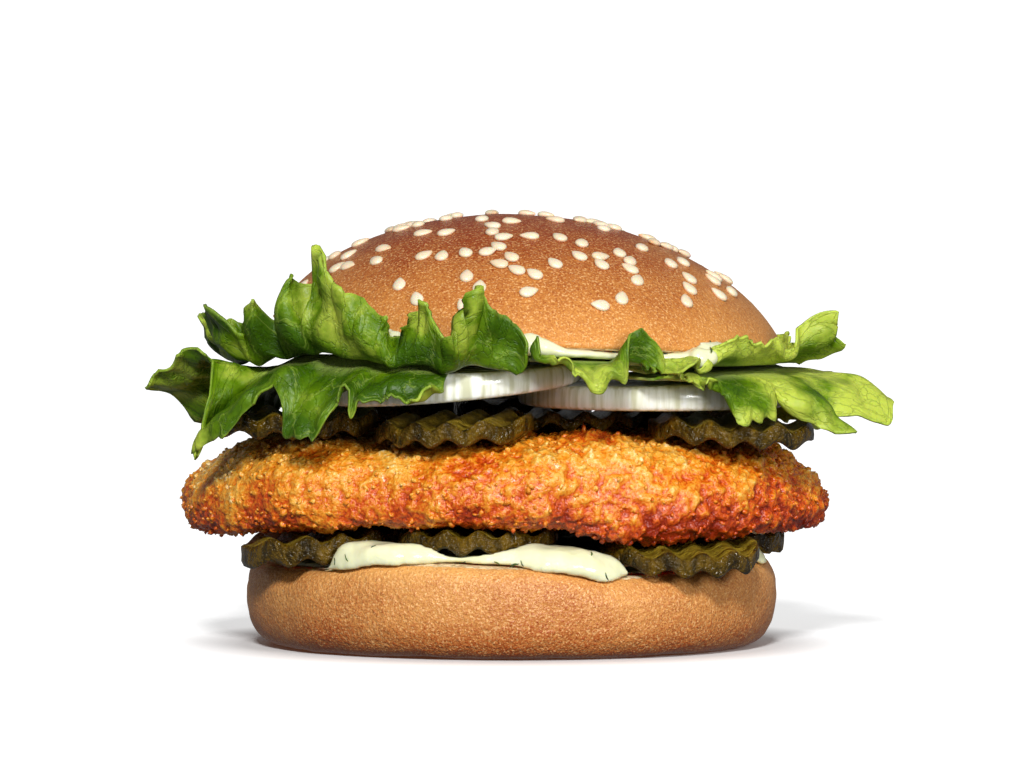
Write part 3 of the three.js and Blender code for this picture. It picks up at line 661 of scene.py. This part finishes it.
def slice_onion(name, at, radius, z, rise, thick):
    """One slice, laid with its underside at the height."""
    bm = turned(onion_profile(), 120, 0.0001)
    for point in bm.verts:
        wobble = 1 + 0.006 * noise.noise(Vector((at[0], at[1], z)) + 2 * point.co)
        dx, dy = radius * wobble * point.co.xy
        height = z + rise[0] * dx + rise[1] * dy + point.co.z * (thick[0] + thick[1] * dx)
        point.co = MM * Vector((at[0] + dx, at[1] + dy, height))
    slice_piece = piece_from(bm, name.replace("onion_", "onion_slice_"))
    dress(slice_piece, "onion", [name], onion_flesh)


for onion in ONIONS:
    slice_onion(*onion)

# Crown bun: the domed upper half, glazed with egg and strewn with sesame before baking. It
# leans to the right. Its crust is deeper brown than the heel's, above all on top; the paler
# foot of the dome is a painted highlight.
CROWN = {
    "x": 2.9, "radius": 49.2, "dome": 28, "fullness": 0.55, "sink": 5.4,
    "cut": 57.7, "cut_x": 2, "tilt": -0.0524,
}
CROWN_UNEVENNESS = {"swell": 0.006, "height": 0.25}
CROWN_CRUST = {"pale": (0.61, 0.26, 0.06, 1), "deep": (0.25, 0.034, 0.002, 1)}
# Browning by height; the lowest values, at the foot of the dome, make it paler as a painted
# highlight.
CROWN_BROWNING = [(0.055, -0.2), (0.06, 0.2), (0.07, 0.6), (0.08, 1.05)]


def crown_cut(x):
    """The height of the crown's sliced face, which leans to the right."""
    return CROWN["cut"] + CROWN["tilt"] * (x - CROWN["cut_x"])


def crown_dome(radius):
    """The dome's height over the sliced face, at a radius from the crown's middle."""
    flat = max(0, 1 - (radius / CROWN["radius"]) ** 2)
    return CROWN["dome"] * flat ** CROWN["fullness"] - CROWN["sink"]


def crown_profile():
    """The dome's section, out from the axis below, round the rim and back over the top."""
    section = [(0, 0), (20, 0), (40, 0), (45, 0.05), (46.4, 0.15), (47.2, 0.5), (47.6, 1.2)]
    reach = 47.1
    while reach > 0.5:
        section.append((reach, crown_dome(reach)))
        reach -= 0.55 if reach > 42 else 1.4
    return section + [(0, crown_dome(0))]


def bake_crown():
    """The crown, a little uneven, with bread crumb on its sliced face."""
    bm = turned(crown_profile(), 160, 0.001)
    for point in bm.verts:
        swell = 1 + CROWN_UNEVENNESS["swell"] * noise.noise(0.04 * point.co)
        dx, y = swell * point.co.xy
        x = CROWN["x"] + dx
        lump = CROWN_UNEVENNESS["height"] * noise.noise(0.08 * point.co)
        point.co = MM * Vector((x, y, crown_cut(x) + point.co.z * swell + lump))
    for face in bm.faces:
        face.material_index = int(face.normal.z < -0.9)
    return piece_from(bm, "crown_bun")


crown_crust = crust_material(
    "crown_crust", CROWN_CRUST, CROWN_BROWNING, 0.45 * MM, Specular_IOR_Level=0.22,
)
dress(bake_crown(), "crown", ["bun_crown"], crown_crust, bread_crumb)

# Sesame: hulled white seeds that stick in the glaze, flat teardrops that lie every way, fewer at
# the foot of the dome and at its back.
SEED = {"length": 3.7, "width": 2.5, "thick": 1.3, "proud": 0.2, "count": 116}
# How far the seeds reach, how far apart they are, and what share of them stays on each part.
SPREAD = {
    "reach": 43.5, "apart": 2.6, "draw": 77,
    "foot": 0.45, "foot_from": 32, "back": 0.6, "back_from": 8, "left": 0.7, "left_from": -10,
}
DRAW = {"factor": 1664525, "step": 1013904223, "range": 2**32}


def mix(first, second, share):
    """A value between two."""
    return first + (second - first) * share


def on_bearing(bearing, reach):
    """Millimetres along X and Y. A bearing is 0 at the shown side and 90 at +X."""
    angle = math.radians(bearing)
    return reach * math.sin(angle), -reach * math.cos(angle)


def draws_from(state):
    """The same row of numbers from 0 to 1 on each run."""
    while True:
        state = (state * DRAW["factor"] + DRAW["step"]) % DRAW["range"]
        yield state / DRAW["range"]


def strew_seeds():
    """The seeds' places from the crown's middle, and how each is turned."""
    draw = draws_from(SPREAD["draw"])
    seeds = []
    while len(seeds) < SEED["count"]:
        reach = SPREAD["reach"] * math.sqrt(next(draw))
        dx, y = on_bearing(360 * next(draw), reach)
        turn = 180 * next(draw)
        foot = mix(1, SPREAD["foot"], smooth(SPREAD["foot_from"], SPREAD["reach"], reach))
        back = SPREAD["back"] if y > SPREAD["back_from"] else 1
        left = SPREAD["left"] if dx < SPREAD["left_from"] else 1
        is_free = all(
            math.hypot(other_dx - dx, other_y - y) > SPREAD["apart"]
            for other_dx, other_y, _ in seeds
        )
        if is_free and next(draw) < back * left * foot:
            seeds.append((dx, y, turn))
    return seeds


def seed_material():
    """Cream-white hulls, some of them toasted at the tip."""
    material = new_material(
        "sesame_hull", Roughness=0.35, Coat_Weight=0.15, Coat_Roughness=0.2,
        Subsurface_Weight=0.3, Subsurface_Scale=0.7 * MM,
    )
    tree = material.node_tree
    toast = add(tree, "Attribute", attribute_name="toast").outputs["Fac"]
    grain = noise_at(tree, add(tree, "TexCoord").outputs["Object"], 1500, 2.0)
    value = sum_of(tree, -0.1, (toast, 1.0), (grain, 0.2))
    cream = (0.72, 0.57, 0.38, 1)
    color = ramp(
        tree, value, (0.0, (0.78, 0.68, 0.5, 1)), (0.5, cream), (1.0, (0.58, 0.29, 0.08, 1)),
    )
    tree.links.new(color, tree.nodes["Principled BSDF"].inputs["Base Color"])
    bump(material, grain, 0.08 * MM, 0.5)
    return material


def lay_seeds():
    """Every seed in one piece, each a flattened teardrop pressed into the glaze."""
    bm = bmesh.new()
    toast = bm.verts.layers.float.new("toast")
    half = SEED["length"] / 2
    for dx, y, turn in strew_seeds():
        radius = math.hypot(dx, y)
        slope = (crown_dome(radius + 0.05) - crown_dome(radius - 0.05)) / 0.1
        normal = Vector((-slope * dx / radius - CROWN["tilt"], -slope * y / radius, 1)).normalized()
        level = Vector((-y, dx, 0))
        long = (level - level.dot(normal) * normal).normalized()
        wide = normal.cross(long)
        swing = math.radians(turn)
        long, wide = (
            math.cos(swing) * long + math.sin(swing) * wide,
            math.cos(swing) * wide - math.sin(swing) * long,
        )
        x = CROWN["x"] + dx
        middle = Vector((x, y, crown_cut(x) + crown_dome(radius))) + SEED["proud"] * normal
        browned = 0.25 + 0.3 * noise.noise(Vector((dx, y, turn)))
        for point in bmesh.ops.create_icosphere(bm, subdivisions=3, radius=1)["verts"]:
            along, across, up = point.co
            taper = 1 - 0.34 * along - 0.22 * along**2
            point[toast] = browned + 0.75 * max(0, along - 0.45)
            point.co = MM * (
                middle
                + half * along * long
                + 0.5 * SEED["width"] * across * taper * wide
                + 0.5 * SEED["thick"] * up * (1 - 0.3 * along) * normal
            )
    seeds = piece_from(bm, "sesame_seeds")
    dress(seeds, "crown", [], seed_material())


lay_seeds()

# Lettuce: frilly green leaves, thin and crisp, pressed flat in the stack and ruffled where they
# stick out of it. An edge point is its bearing, its reach from the axis and its height.
LEAF_THICKNESS = 0.5
LEAF_GREENS = {
    "deep": (0.035, 0.09, 0.0005, 1),
    "middle": (0.1, 0.19, 0.002, 1),
    "light": (0.42, 0.5, 0.06, 1),
    "net": (0.03, 0.09, 0.002, 1),
    "ribs": (0.36, 0.48, 0.07, 1),
    "rim": (0.4, 0.55, 0.08, 1),
    "base": (0.5, 0.6, 0.16, 1),
}
LEAF_GRID = {"least": 70, "per_degree": 2.6, "outward": 44}
LEAF_UV = {"per_degree": 0.00105, "outward": 0.03}
LEAF_BELOW_CROWN = 2.1
LEAF_OVER_ONION = 51.7
LOWEST_SAG = 51
FRILL = {"rib": 4.3, "lobe": (11, 17), "size": (0.45, 1), "first_size": 0.6, "uneven": 0.12}
TEETH = {"length": 2.2, "per_mm": 0.33, "outward": 0.5, "upward": 0.8}
RUFFLES = {"fold": 5.5, "ruffle": 1.8, "blister": 0.7, "crease": 1.5}
PRESSED_SHARE = 0.22


def level_under_crown(x, y):
    """The level of a leaf that lies right under the crown's sauce."""
    return crown_cut(x) - LEAF_BELOW_CROWN


def drooping_at_its_start(x, y):
    """The same level, but lower where the leaf starts, beside the middle leaf."""
    droop = 1.5 * smooth(30, 46, math.hypot(x, y)) * (1 - smooth(24, 33, x))
    return level_under_crown(x, y) - droop


def level_over_right_onion(x, y):
    """The level of a leaf that lies on the right onion slice."""
    return LEAF_OVER_ONION


def sagging_past_onion(depth, sag):
    """The level of a leaf that lies on the left onion slice and hangs past it."""
    (middle_x, middle_y), radius = ONIONS[1][1:3]

    def level(x, y):
        past = math.hypot(x - middle_x, y - middle_y) - radius
        return max(LOWEST_SAG, crown_cut(x) - depth - sag * smooth(2, 12, past))

    return level


LEAVES = [
    {
        "name": "left_upper",
        "ruffled": 1.0,
        "level": sagging_past_onion(LEAF_BELOW_CROWN, 2.5),
        "root": 8,
        "exit": 46.8,
        "bow": {"outward": 0.85, "upward": 0.1, "drop": 7.2},
        "roots": (-184, 0.5),
        "frill": {"from": -182, "to": -74, "reach": (53, 59), "height": (56.5, 63), "draw": 5},
        "edge": [
            (-68.7, 60, 64.4), (-63, 55, 59.5), (-57.3, 58, 66.4), (-55, 52, 60.7), (-47.9, 57, 70.3),
            (-45, 55, 68.7), (-43.6, 56, 75.8), (-36.2, 55, 70), (-31.2, 54.5, 67.1),
            (-26.4, 54, 62.6), (-24.6, 53, 58.8), (-18.8, 54, 66.5), (-13.1, 53, 59.8),
            (-9.7, 53.5, 63.6), (-6.6, 54, 70), (-3.8, 54, 65.1), (0.8, 53, 63.2), (1.6, 53, 58),
        ],
    },
    {
        "name": "left_lower",
        "ruffled": 0.75,
        "level": sagging_past_onion(4.35, 4.5),
        "root": 30,
        "exit": 46,
        "bow": {"outward": 0.75, "upward": 0.27, "drop": 1.5},
        "roots": (-154, -14),
        "frill": {"from": -154, "to": -85, "reach": (52.5, 57), "height": (42.3, 40.4), "draw": 11},
        "edge": [
            (-78, 68.5, 48.4), (-71.5, 64, 56.2), (-66, 60, 55.5), (-63, 64.5, 44),
            (-65.5, 64.5, 36.4), (-57, 63, 41.5), (-53, 60, 45.6), (-49, 58, 51), (-45.7, 58, 41),
            (-39.3, 58, 41.3), (-35, 56, 48.4), (-33.4, 55.5, 50.5), (-31.6, 56, 45.1),
            (-25.5, 55, 48.8), (-19, 54.5, 47.6), (-14.5, 54, 49.6),
        ],
    },
    {
        "name": "middle",
        "ruffled": 0.35,
        "level": level_under_crown,
        "root": 12,
        "exit": 48.8,
        "bow": {"outward": 0.85, "upward": 0.1, "drop": 0},
        "roots": (3.8, 28),
        "edge": [
            (4.2, 53, 60.2), (4.8, 54, 56.4), (9.5, 54, 54.9), (12, 54, 52.8), (16.4, 55, 50.5),
            (18.6, 54.5, 52.3), (22.4, 55, 52.1), (23.2, 54, 54.5), (24.4, 52, 60.5), (27, 52, 60.9),
            (29.6, 53, 59.5), (31.4, 54, 55.4), (30.6, 55, 52.8),
        ],
    },
    {
        "name": "right_upper",
        "ruffled": 0.6,
        "level": drooping_at_its_start,
        "root": 12,
        "exit": 49.3,
        "bow": {"outward": 0.85, "upward": 0.1, "drop": 0},
        "roots": (29.5, 171),
        "edge": [
            (27, 51.6, 53.3), (31.5, 52.5, 53), (35, 56, 55.8), (40, 54, 54.2), (45, 54.5, 57.2),
            (49.6, 55, 59), (54.2, 55.5, 58.2), (60.6, 56, 57.5), (63.4, 56.5, 55.6), (66, 58, 55.4),
            (67.1, 58.5, 60.4), (69, 61, 62.4), (71, 64.5, 62.4), (72.6, 61.5, 60), (74.3, 64, 57.2),
            (76, 60, 55.2),
        ],
        "frill": {"from": 81, "to": 169, "reach": (54, 60), "height": (53, 57), "draw": 23},
    },
    {
        "name": "right_lower",
        "ruffled": 0.6,
        "level": level_over_right_onion,
        "root": 30,
        "exit": 49.7,
        "bow": {"outward": 0.85, "upward": 0.1, "drop": 0},
        "roots": (30, 152),
        "edge": [
            (34, 54, 51.9), (40, 55, 50.9), (44.7, 56.5, 49.5), (45.9, 57.5, 43.9),
            (50.9, 59, 42.6), (55.5, 58, 44.5), (58.5, 57.5, 47), (60, 60, 44.3),
            (62, 64, 42.4), (67, 67, 40.9), (70, 61, 44.5), (77.4, 70.5, 42), (82, 71.2, 46.3),
            (83.5, 65, 45), (86, 64.5, 47), (89, 58.5, 50.4),
        ],
        "frill": {"from": 94, "to": 151, "reach": (54.8, 59), "height": (41.4, 39.8), "draw": 31},
    },
]


def frilled_edge(frill):
    """The unseen back of a leaf's edge, in lobes of drawn width and size."""
    draw = draws_from(frill["draw"])
    edge = []
    start = bearing = frill["from"]
    width = mix(*FRILL["lobe"], next(draw))
    size = FRILL["first_size"]
    while bearing <= frill["to"]:
        if bearing > start + width:
            start += width
            width = mix(*FRILL["lobe"], next(draw))
            size = mix(*FRILL["size"], next(draw))
        share = size * math.sin(math.pi * (bearing - start) / width) ** 0.7
        height = mix(*frill["height"], share + FRILL["uneven"] * next(draw))
        edge.append((bearing, mix(*frill["reach"], share), height))
        bearing += FRILL["rib"]
    return edge


def edge_runs(leaf):
    """The leaf's edge points, each after how far round the leaf it is, from 0 to 1."""
    frill = frilled_edge(leaf["frill"]) if "frill" in leaf else []
    is_frill_first = "frill" in leaf and leaf["frill"]["from"] < 0
    edge = frill + leaf["edge"] if is_frill_first else leaf["edge"] + frill
    runs = [0]
    for before, tip in zip(edge, edge[1:]):
        runs.append(runs[-1] + max(1.6, tip[0] - before[0]))
    return [(run / runs[-1], Vector(tip)) for run, tip in zip(runs, edge)]


def edge_at(runs, along):
    """A smooth curve through the edge points."""
    last = len(runs) - 2
    i = next((k for k in range(last) if along < runs[k + 1][0]), last)
    (start, before), (end, after) = runs[i], runs[i + 1]
    share = (along - start) / (end - start)
    enter = 0.3 * (after - runs[max(i - 1, 0)][1])
    leave = 0.3 * (runs[min(i + 2, len(runs) - 1)][1] - before)
    squared, cubed = share**2, share**3
    return (
        (2 * cubed - 3 * squared + 1) * before
        + (cubed - 2 * squared + share) * enter
        + (3 * squared - 2 * cubed) * after
        + (cubed - squared) * leave
    )


def leaf_point(leaf, runs, along, outward):
    """A point of the leaf's middle, along its edge and outward from its root, both 0 to 1."""
    root_bearing = mix(*leaf["roots"], along)
    root = on_bearing(root_bearing, leaf["root"])
    leaving = on_bearing(root_bearing, leaf["exit"])
    exit_height = leaf["level"](*leaving)
    if outward < PRESSED_SHARE:
        share = outward / PRESSED_SHARE
        x, y = mix(root[0], leaving[0], share), mix(root[1], leaving[1], share)
        return Vector((x, y, mix(leaf["level"](*root), exit_height, share)))
    bearing, reach, height = edge_at(runs, along)
    span = abs(leaf["roots"][1] - leaf["roots"][0])
    place = Vector((TEETH["per_mm"] * along * span, leaf["exit"], 3))
    tooth = TEETH["length"] * (0.7 * noise.noise(place) + 0.3 - abs(noise.noise(1.5 * place)))
    lift = 1 if height > exit_height else -1
    reach += TEETH["outward"] * tooth
    height += TEETH["upward"] * tooth * lift
    bow = leaf["bow"]
    bow_reach = mix(leaf["exit"], reach, bow["outward"])
    bow_height = mix(exit_height, height, bow["upward"]) - bow["drop"]
    t = (outward - PRESSED_SHARE) / (1 - PRESSED_SHARE)
    near, between, far = (1 - t) ** 2, 2 * t * (1 - t), t * t
    x, y = on_bearing(
        mix(root_bearing, bearing, t),
        near * leaf["exit"] + between * bow_reach + far * reach,
    )
    return Vector((x, y, near * exit_height + between * bow_height + far * height))


def veins_at(tree, vector, scale, width):
    """A net of thin lines, from 0 between them to 1 on them."""
    cells = add(tree, "TexVoronoi", {"Scale": scale}, feature="DISTANCE_TO_EDGE")
    tree.links.new(vector, cells.inputs["Vector"])
    return share_from(tree, cells.outputs["Distance"], width, 0.0)


def wandering_uv(tree, uv):
    """The leaf's own flat coordinates, bent here and there and drawn out toward the edge."""
    wander = add(tree, "TexNoise", {"Scale": 160.0, "Detail": 4.0, "Roughness": 0.65})
    tree.links.new(uv, wander.inputs["Vector"])
    shift = add(tree, "VectorMath", operation="SCALE")
    shift.inputs["Scale"].default_value = 0.007
    tree.links.new(wander.outputs["Color"], shift.inputs[0])
    bent = add(tree, "VectorMath", operation="ADD")
    tree.links.new(uv, bent.inputs[0])
    tree.links.new(shift.outputs[0], bent.inputs[1])
    drawn = add(tree, "Mapping")
    drawn.inputs["Scale"].default_value = (1, 0.6, 1)
    tree.links.new(bent.outputs[0], drawn.inputs["Vector"])
    return drawn.outputs[0]


def leaf_material():
    """Mottled green, lighter and yellower to the right as painted light, yellower at the tips, veined
    and paler at its base.
    """
    material = new_material(
        "lettuce_leaf", Roughness=0.4, Specular_IOR_Level=0.22,
        Subsurface_Weight=0.25, Subsurface_Scale=0.8 * MM,
    )
    tree = material.node_tree
    shader = tree.nodes["Principled BSDF"]
    shader.inputs["Subsurface Radius"].default_value = (0.6, 1.0, 0.12)
    coords = add(tree, "TexCoord")
    flat = wandering_uv(tree, coords.outputs["UV"])
    net = veins_at(tree, flat, 430.0, 0.07)
    ribs = veins_at(tree, flat, 105.0, 0.025)
    place = add(tree, "SeparateXYZ")
    tree.links.new(coords.outputs["Object"], place.inputs[0])
    # Lighter and yellower to the right: painted light.
    right = share_from(tree, place.outputs["X"], -20 * MM, 10 * MM)
    shades = noise_at(tree, coords.outputs["Object"], 75, 4.0)
    wrinkles = noise_at(tree, coords.outputs["Object"], 420, 4.0)
    edge = add(tree, "Attribute", attribute_name="outward").outputs["Fac"]
    tips = share_from(tree, edge, 0.55, 1.0)
    rim = share_from(tree, edge, 0.975, 1.0, 0.3)
    base = share_from(tree, edge, 0.45, 0.2, 0.7)
    tones = sum_of(tree, -0.1, (shades, 1.0), (right, 0.155), (tips, 0.045))
    color = ramp(
        tree, tones, (0.38, LEAF_GREENS["deep"]), (0.49, LEAF_GREENS["middle"]),
        (0.61, LEAF_GREENS["light"]),
    )
    color = blend_colors(tree, sum_of(tree, 0.0, (net, 0.25)), color, LEAF_GREENS["net"])
    color = blend_colors(tree, sum_of(tree, 0.0, (ribs, 0.3)), color, LEAF_GREENS["ribs"])
    color = blend_colors(tree, rim, color, LEAF_GREENS["rim"])
    color = blend_colors(tree, base, color, LEAF_GREENS["base"])
    tree.links.new(color, shader.inputs["Base Color"])
    relief = sum_of(tree, 0.3, (net, -0.15), (ribs, 0.1), (wrinkles, 0.7))
    bump(material, relief, 0.8 * MM, 0.9)
    return material


lettuce_leaf = leaf_material()


def grow_leaf(leaf):
    """One leaf: a flat grid laid through the stack, then folded, blistered and creased."""
    runs = edge_runs(leaf)
    span = abs(leaf["roots"][1] - leaf["roots"][0])
    columns = max(LEAF_GRID["least"], round(LEAF_GRID["per_degree"] * span))
    bm = bmesh.new()
    uv = bm.loops.layers.uv.new("UVMap")
    far = bm.verts.layers.float.new("outward")
    bmesh.ops.create_grid(
        bm, x_segments=columns, y_segments=LEAF_GRID["outward"], size=0.5, calc_uvs=True,
    )
    shares = {point: (point.co.x + 0.5, point.co.y + 0.5) for point in bm.verts}
    for face in bm.faces:
        for loop in face.loops:
            along, outward = shares[loop.vert]
            loop[uv].uv = (along * span * LEAF_UV["per_degree"], outward * LEAF_UV["outward"])
    for point, (along, outward) in shares.items():
        point[far] = outward
        point.co = leaf_point(leaf, runs, along, outward)
    bm.normal_update()
    shift = Vector((7 * len(leaf["name"]), 3 * leaf["exit"], 0))
    moves = {}
    for point, (along, outward) in shares.items():
        free = smooth(PRESSED_SHARE + 0.1, 1, outward)
        place = Vector((along * span * 0.9, 0, 0)) + shift
        fold = noise.noise(0.1 * place + Vector((1.1 * outward, 2.2 * outward, 0)))
        ruffle = noise.noise(0.33 * place + Vector((0, 2.4 * outward, 5)))
        blister = noise.noise(0.22 * point.co + shift)
        crease = abs(noise.noise(0.16 * point.co - shift))
        folded = RUFFLES["fold"] * fold * free**1.3 + RUFFLES["ruffle"] * ruffle * free**2.5
        uneven = RUFFLES["blister"] * blister - RUFFLES["crease"] * crease
        moves[point] = point.normal * (leaf["ruffled"] * folded + free**0.5 * uneven)
    for point, move in moves.items():
        point.co = MM * (point.co + move)
    bmesh.ops.recalc_face_normals(bm, faces=bm.faces)
    piece = piece_from(bm, "lettuce_leaf_" + leaf["name"])
    keep(piece, "SOLIDIFY", thickness=LEAF_THICKNESS * MM, offset=0)
    dress(piece, "lettuce", ["lettuce_" + leaf["name"]], lettuce_leaf)


for leaf in LEAVES:
    grow_leaf(leaf)

# Stage: a white sweep under the burger, a broad key light from in front and above, and two
# softboxes, one low at the front right and a faint one overhead.
PIXELS_PER_METRE = 5348
CAMERA = {"distance": 2.5, "rise": 3.0, "aim": 0.0486, "shown_width": 1024 / PIXELS_PER_METRE}
SENSOR_WIDTH = 36
FLOOR_HALF_WIDTH = 12
GLOW = {"strength": 0.55, "from": 0.05, "to": 0.066}
WORLD = {"lighting": 0.2, "more_where_seen": 0.9}
LIT_HEIGHT = 0.04


def white_floor():
    """A pale floor that glows a little, away from the burger, so that its shadow stays faint."""
    bm = bmesh.new()
    bmesh.ops.create_grid(bm, x_segments=1, y_segments=1, size=FLOOR_HALF_WIDTH)
    floor = piece_from(bm, "floor")
    material = new_material(
        "white_floor", Base_Color=(0.93, 0.93, 0.93, 1), Roughness=0.6,
        Emission_Strength=GLOW["strength"],
    )
    tree = material.node_tree
    away = add(tree, "VectorMath", operation="LENGTH")
    tree.links.new(add(tree, "TexCoord").outputs["Object"], away.inputs[0])
    share = share_from(tree, away.outputs["Value"], GLOW["from"], GLOW["to"])
    glow = ramp(tree, share, (0.0, (0, 0, 0, 1)), (1.0, (1, 1, 1, 1)))
    tree.links.new(glow, tree.nodes["Principled BSDF"].inputs["Emission Color"])
    floor.data.materials.append(material)
    floor.visible_diffuse = False
    floor.visible_glossy = False


def white_world():
    """White all round: faint as a light, bright where the camera sees it."""
    world = bpy.data.worlds.new("studio")
    bpy.context.scene.world = world
    world.use_nodes = True
    tree = world.node_tree
    seen = add(tree, "LightPath").outputs["Is Camera Ray"]
    strength = sum_of(tree, WORLD["lighting"], (seen, WORLD["more_where_seen"]))
    tree.nodes["Background"].inputs["Color"].default_value = (1, 1, 1, 1)
    tree.links.new(strength, tree.nodes["Background"].inputs["Strength"])


def add_light(name, kind, toward, energy, **settings):
    """A light that shines from a direction, or from a place on the middle of the burger."""
    lamp = bpy.data.lights.new(name, kind)
    lamp.energy = energy
    for key, value in settings.items():
        setattr(lamp, key, value)
    light = bpy.data.objects.new(name, lamp)
    light.location = Vector((0, 0, LIT_HEIGHT)) + Vector(toward)
    light.rotation_euler = Vector(toward).to_track_quat("Z", "Y").to_euler()
    bpy.context.scene.collection.objects.link(light)


white_floor()
white_world()
add_light("key", "SUN", (-0.05, -0.95, 0.55), 3.3, angle=math.radians(9))
add_light("front", "AREA", (0.5, -0.8, 0.22), 4.4, shape="RECTANGLE", size=0.3, size_y=0.2)
add_light("overhead", "AREA", (0.0, -0.35, 0.5), 0.12, shape="RECTANGLE", size=0.4, size_y=0.2)

lens = bpy.data.cameras.new("camera")
lens.sensor_width = SENSOR_WIDTH
lens.lens = SENSOR_WIDTH * CAMERA["distance"] / CAMERA["shown_width"]
lens.clip_start = 0.01
camera = bpy.data.objects.new("camera", lens)
rise = math.radians(CAMERA["rise"])
camera.location = (
    0,
    -CAMERA["distance"] * math.cos(rise),
    CAMERA["aim"] + CAMERA["distance"] * math.sin(rise),
)
camera.rotation_euler = (math.pi / 2 - rise, 0, 0)
bpy.context.scene.collection.objects.link(camera)
bpy.context.scene.camera = camera
bpy.context.scene.view_settings.view_transform = "Standard"
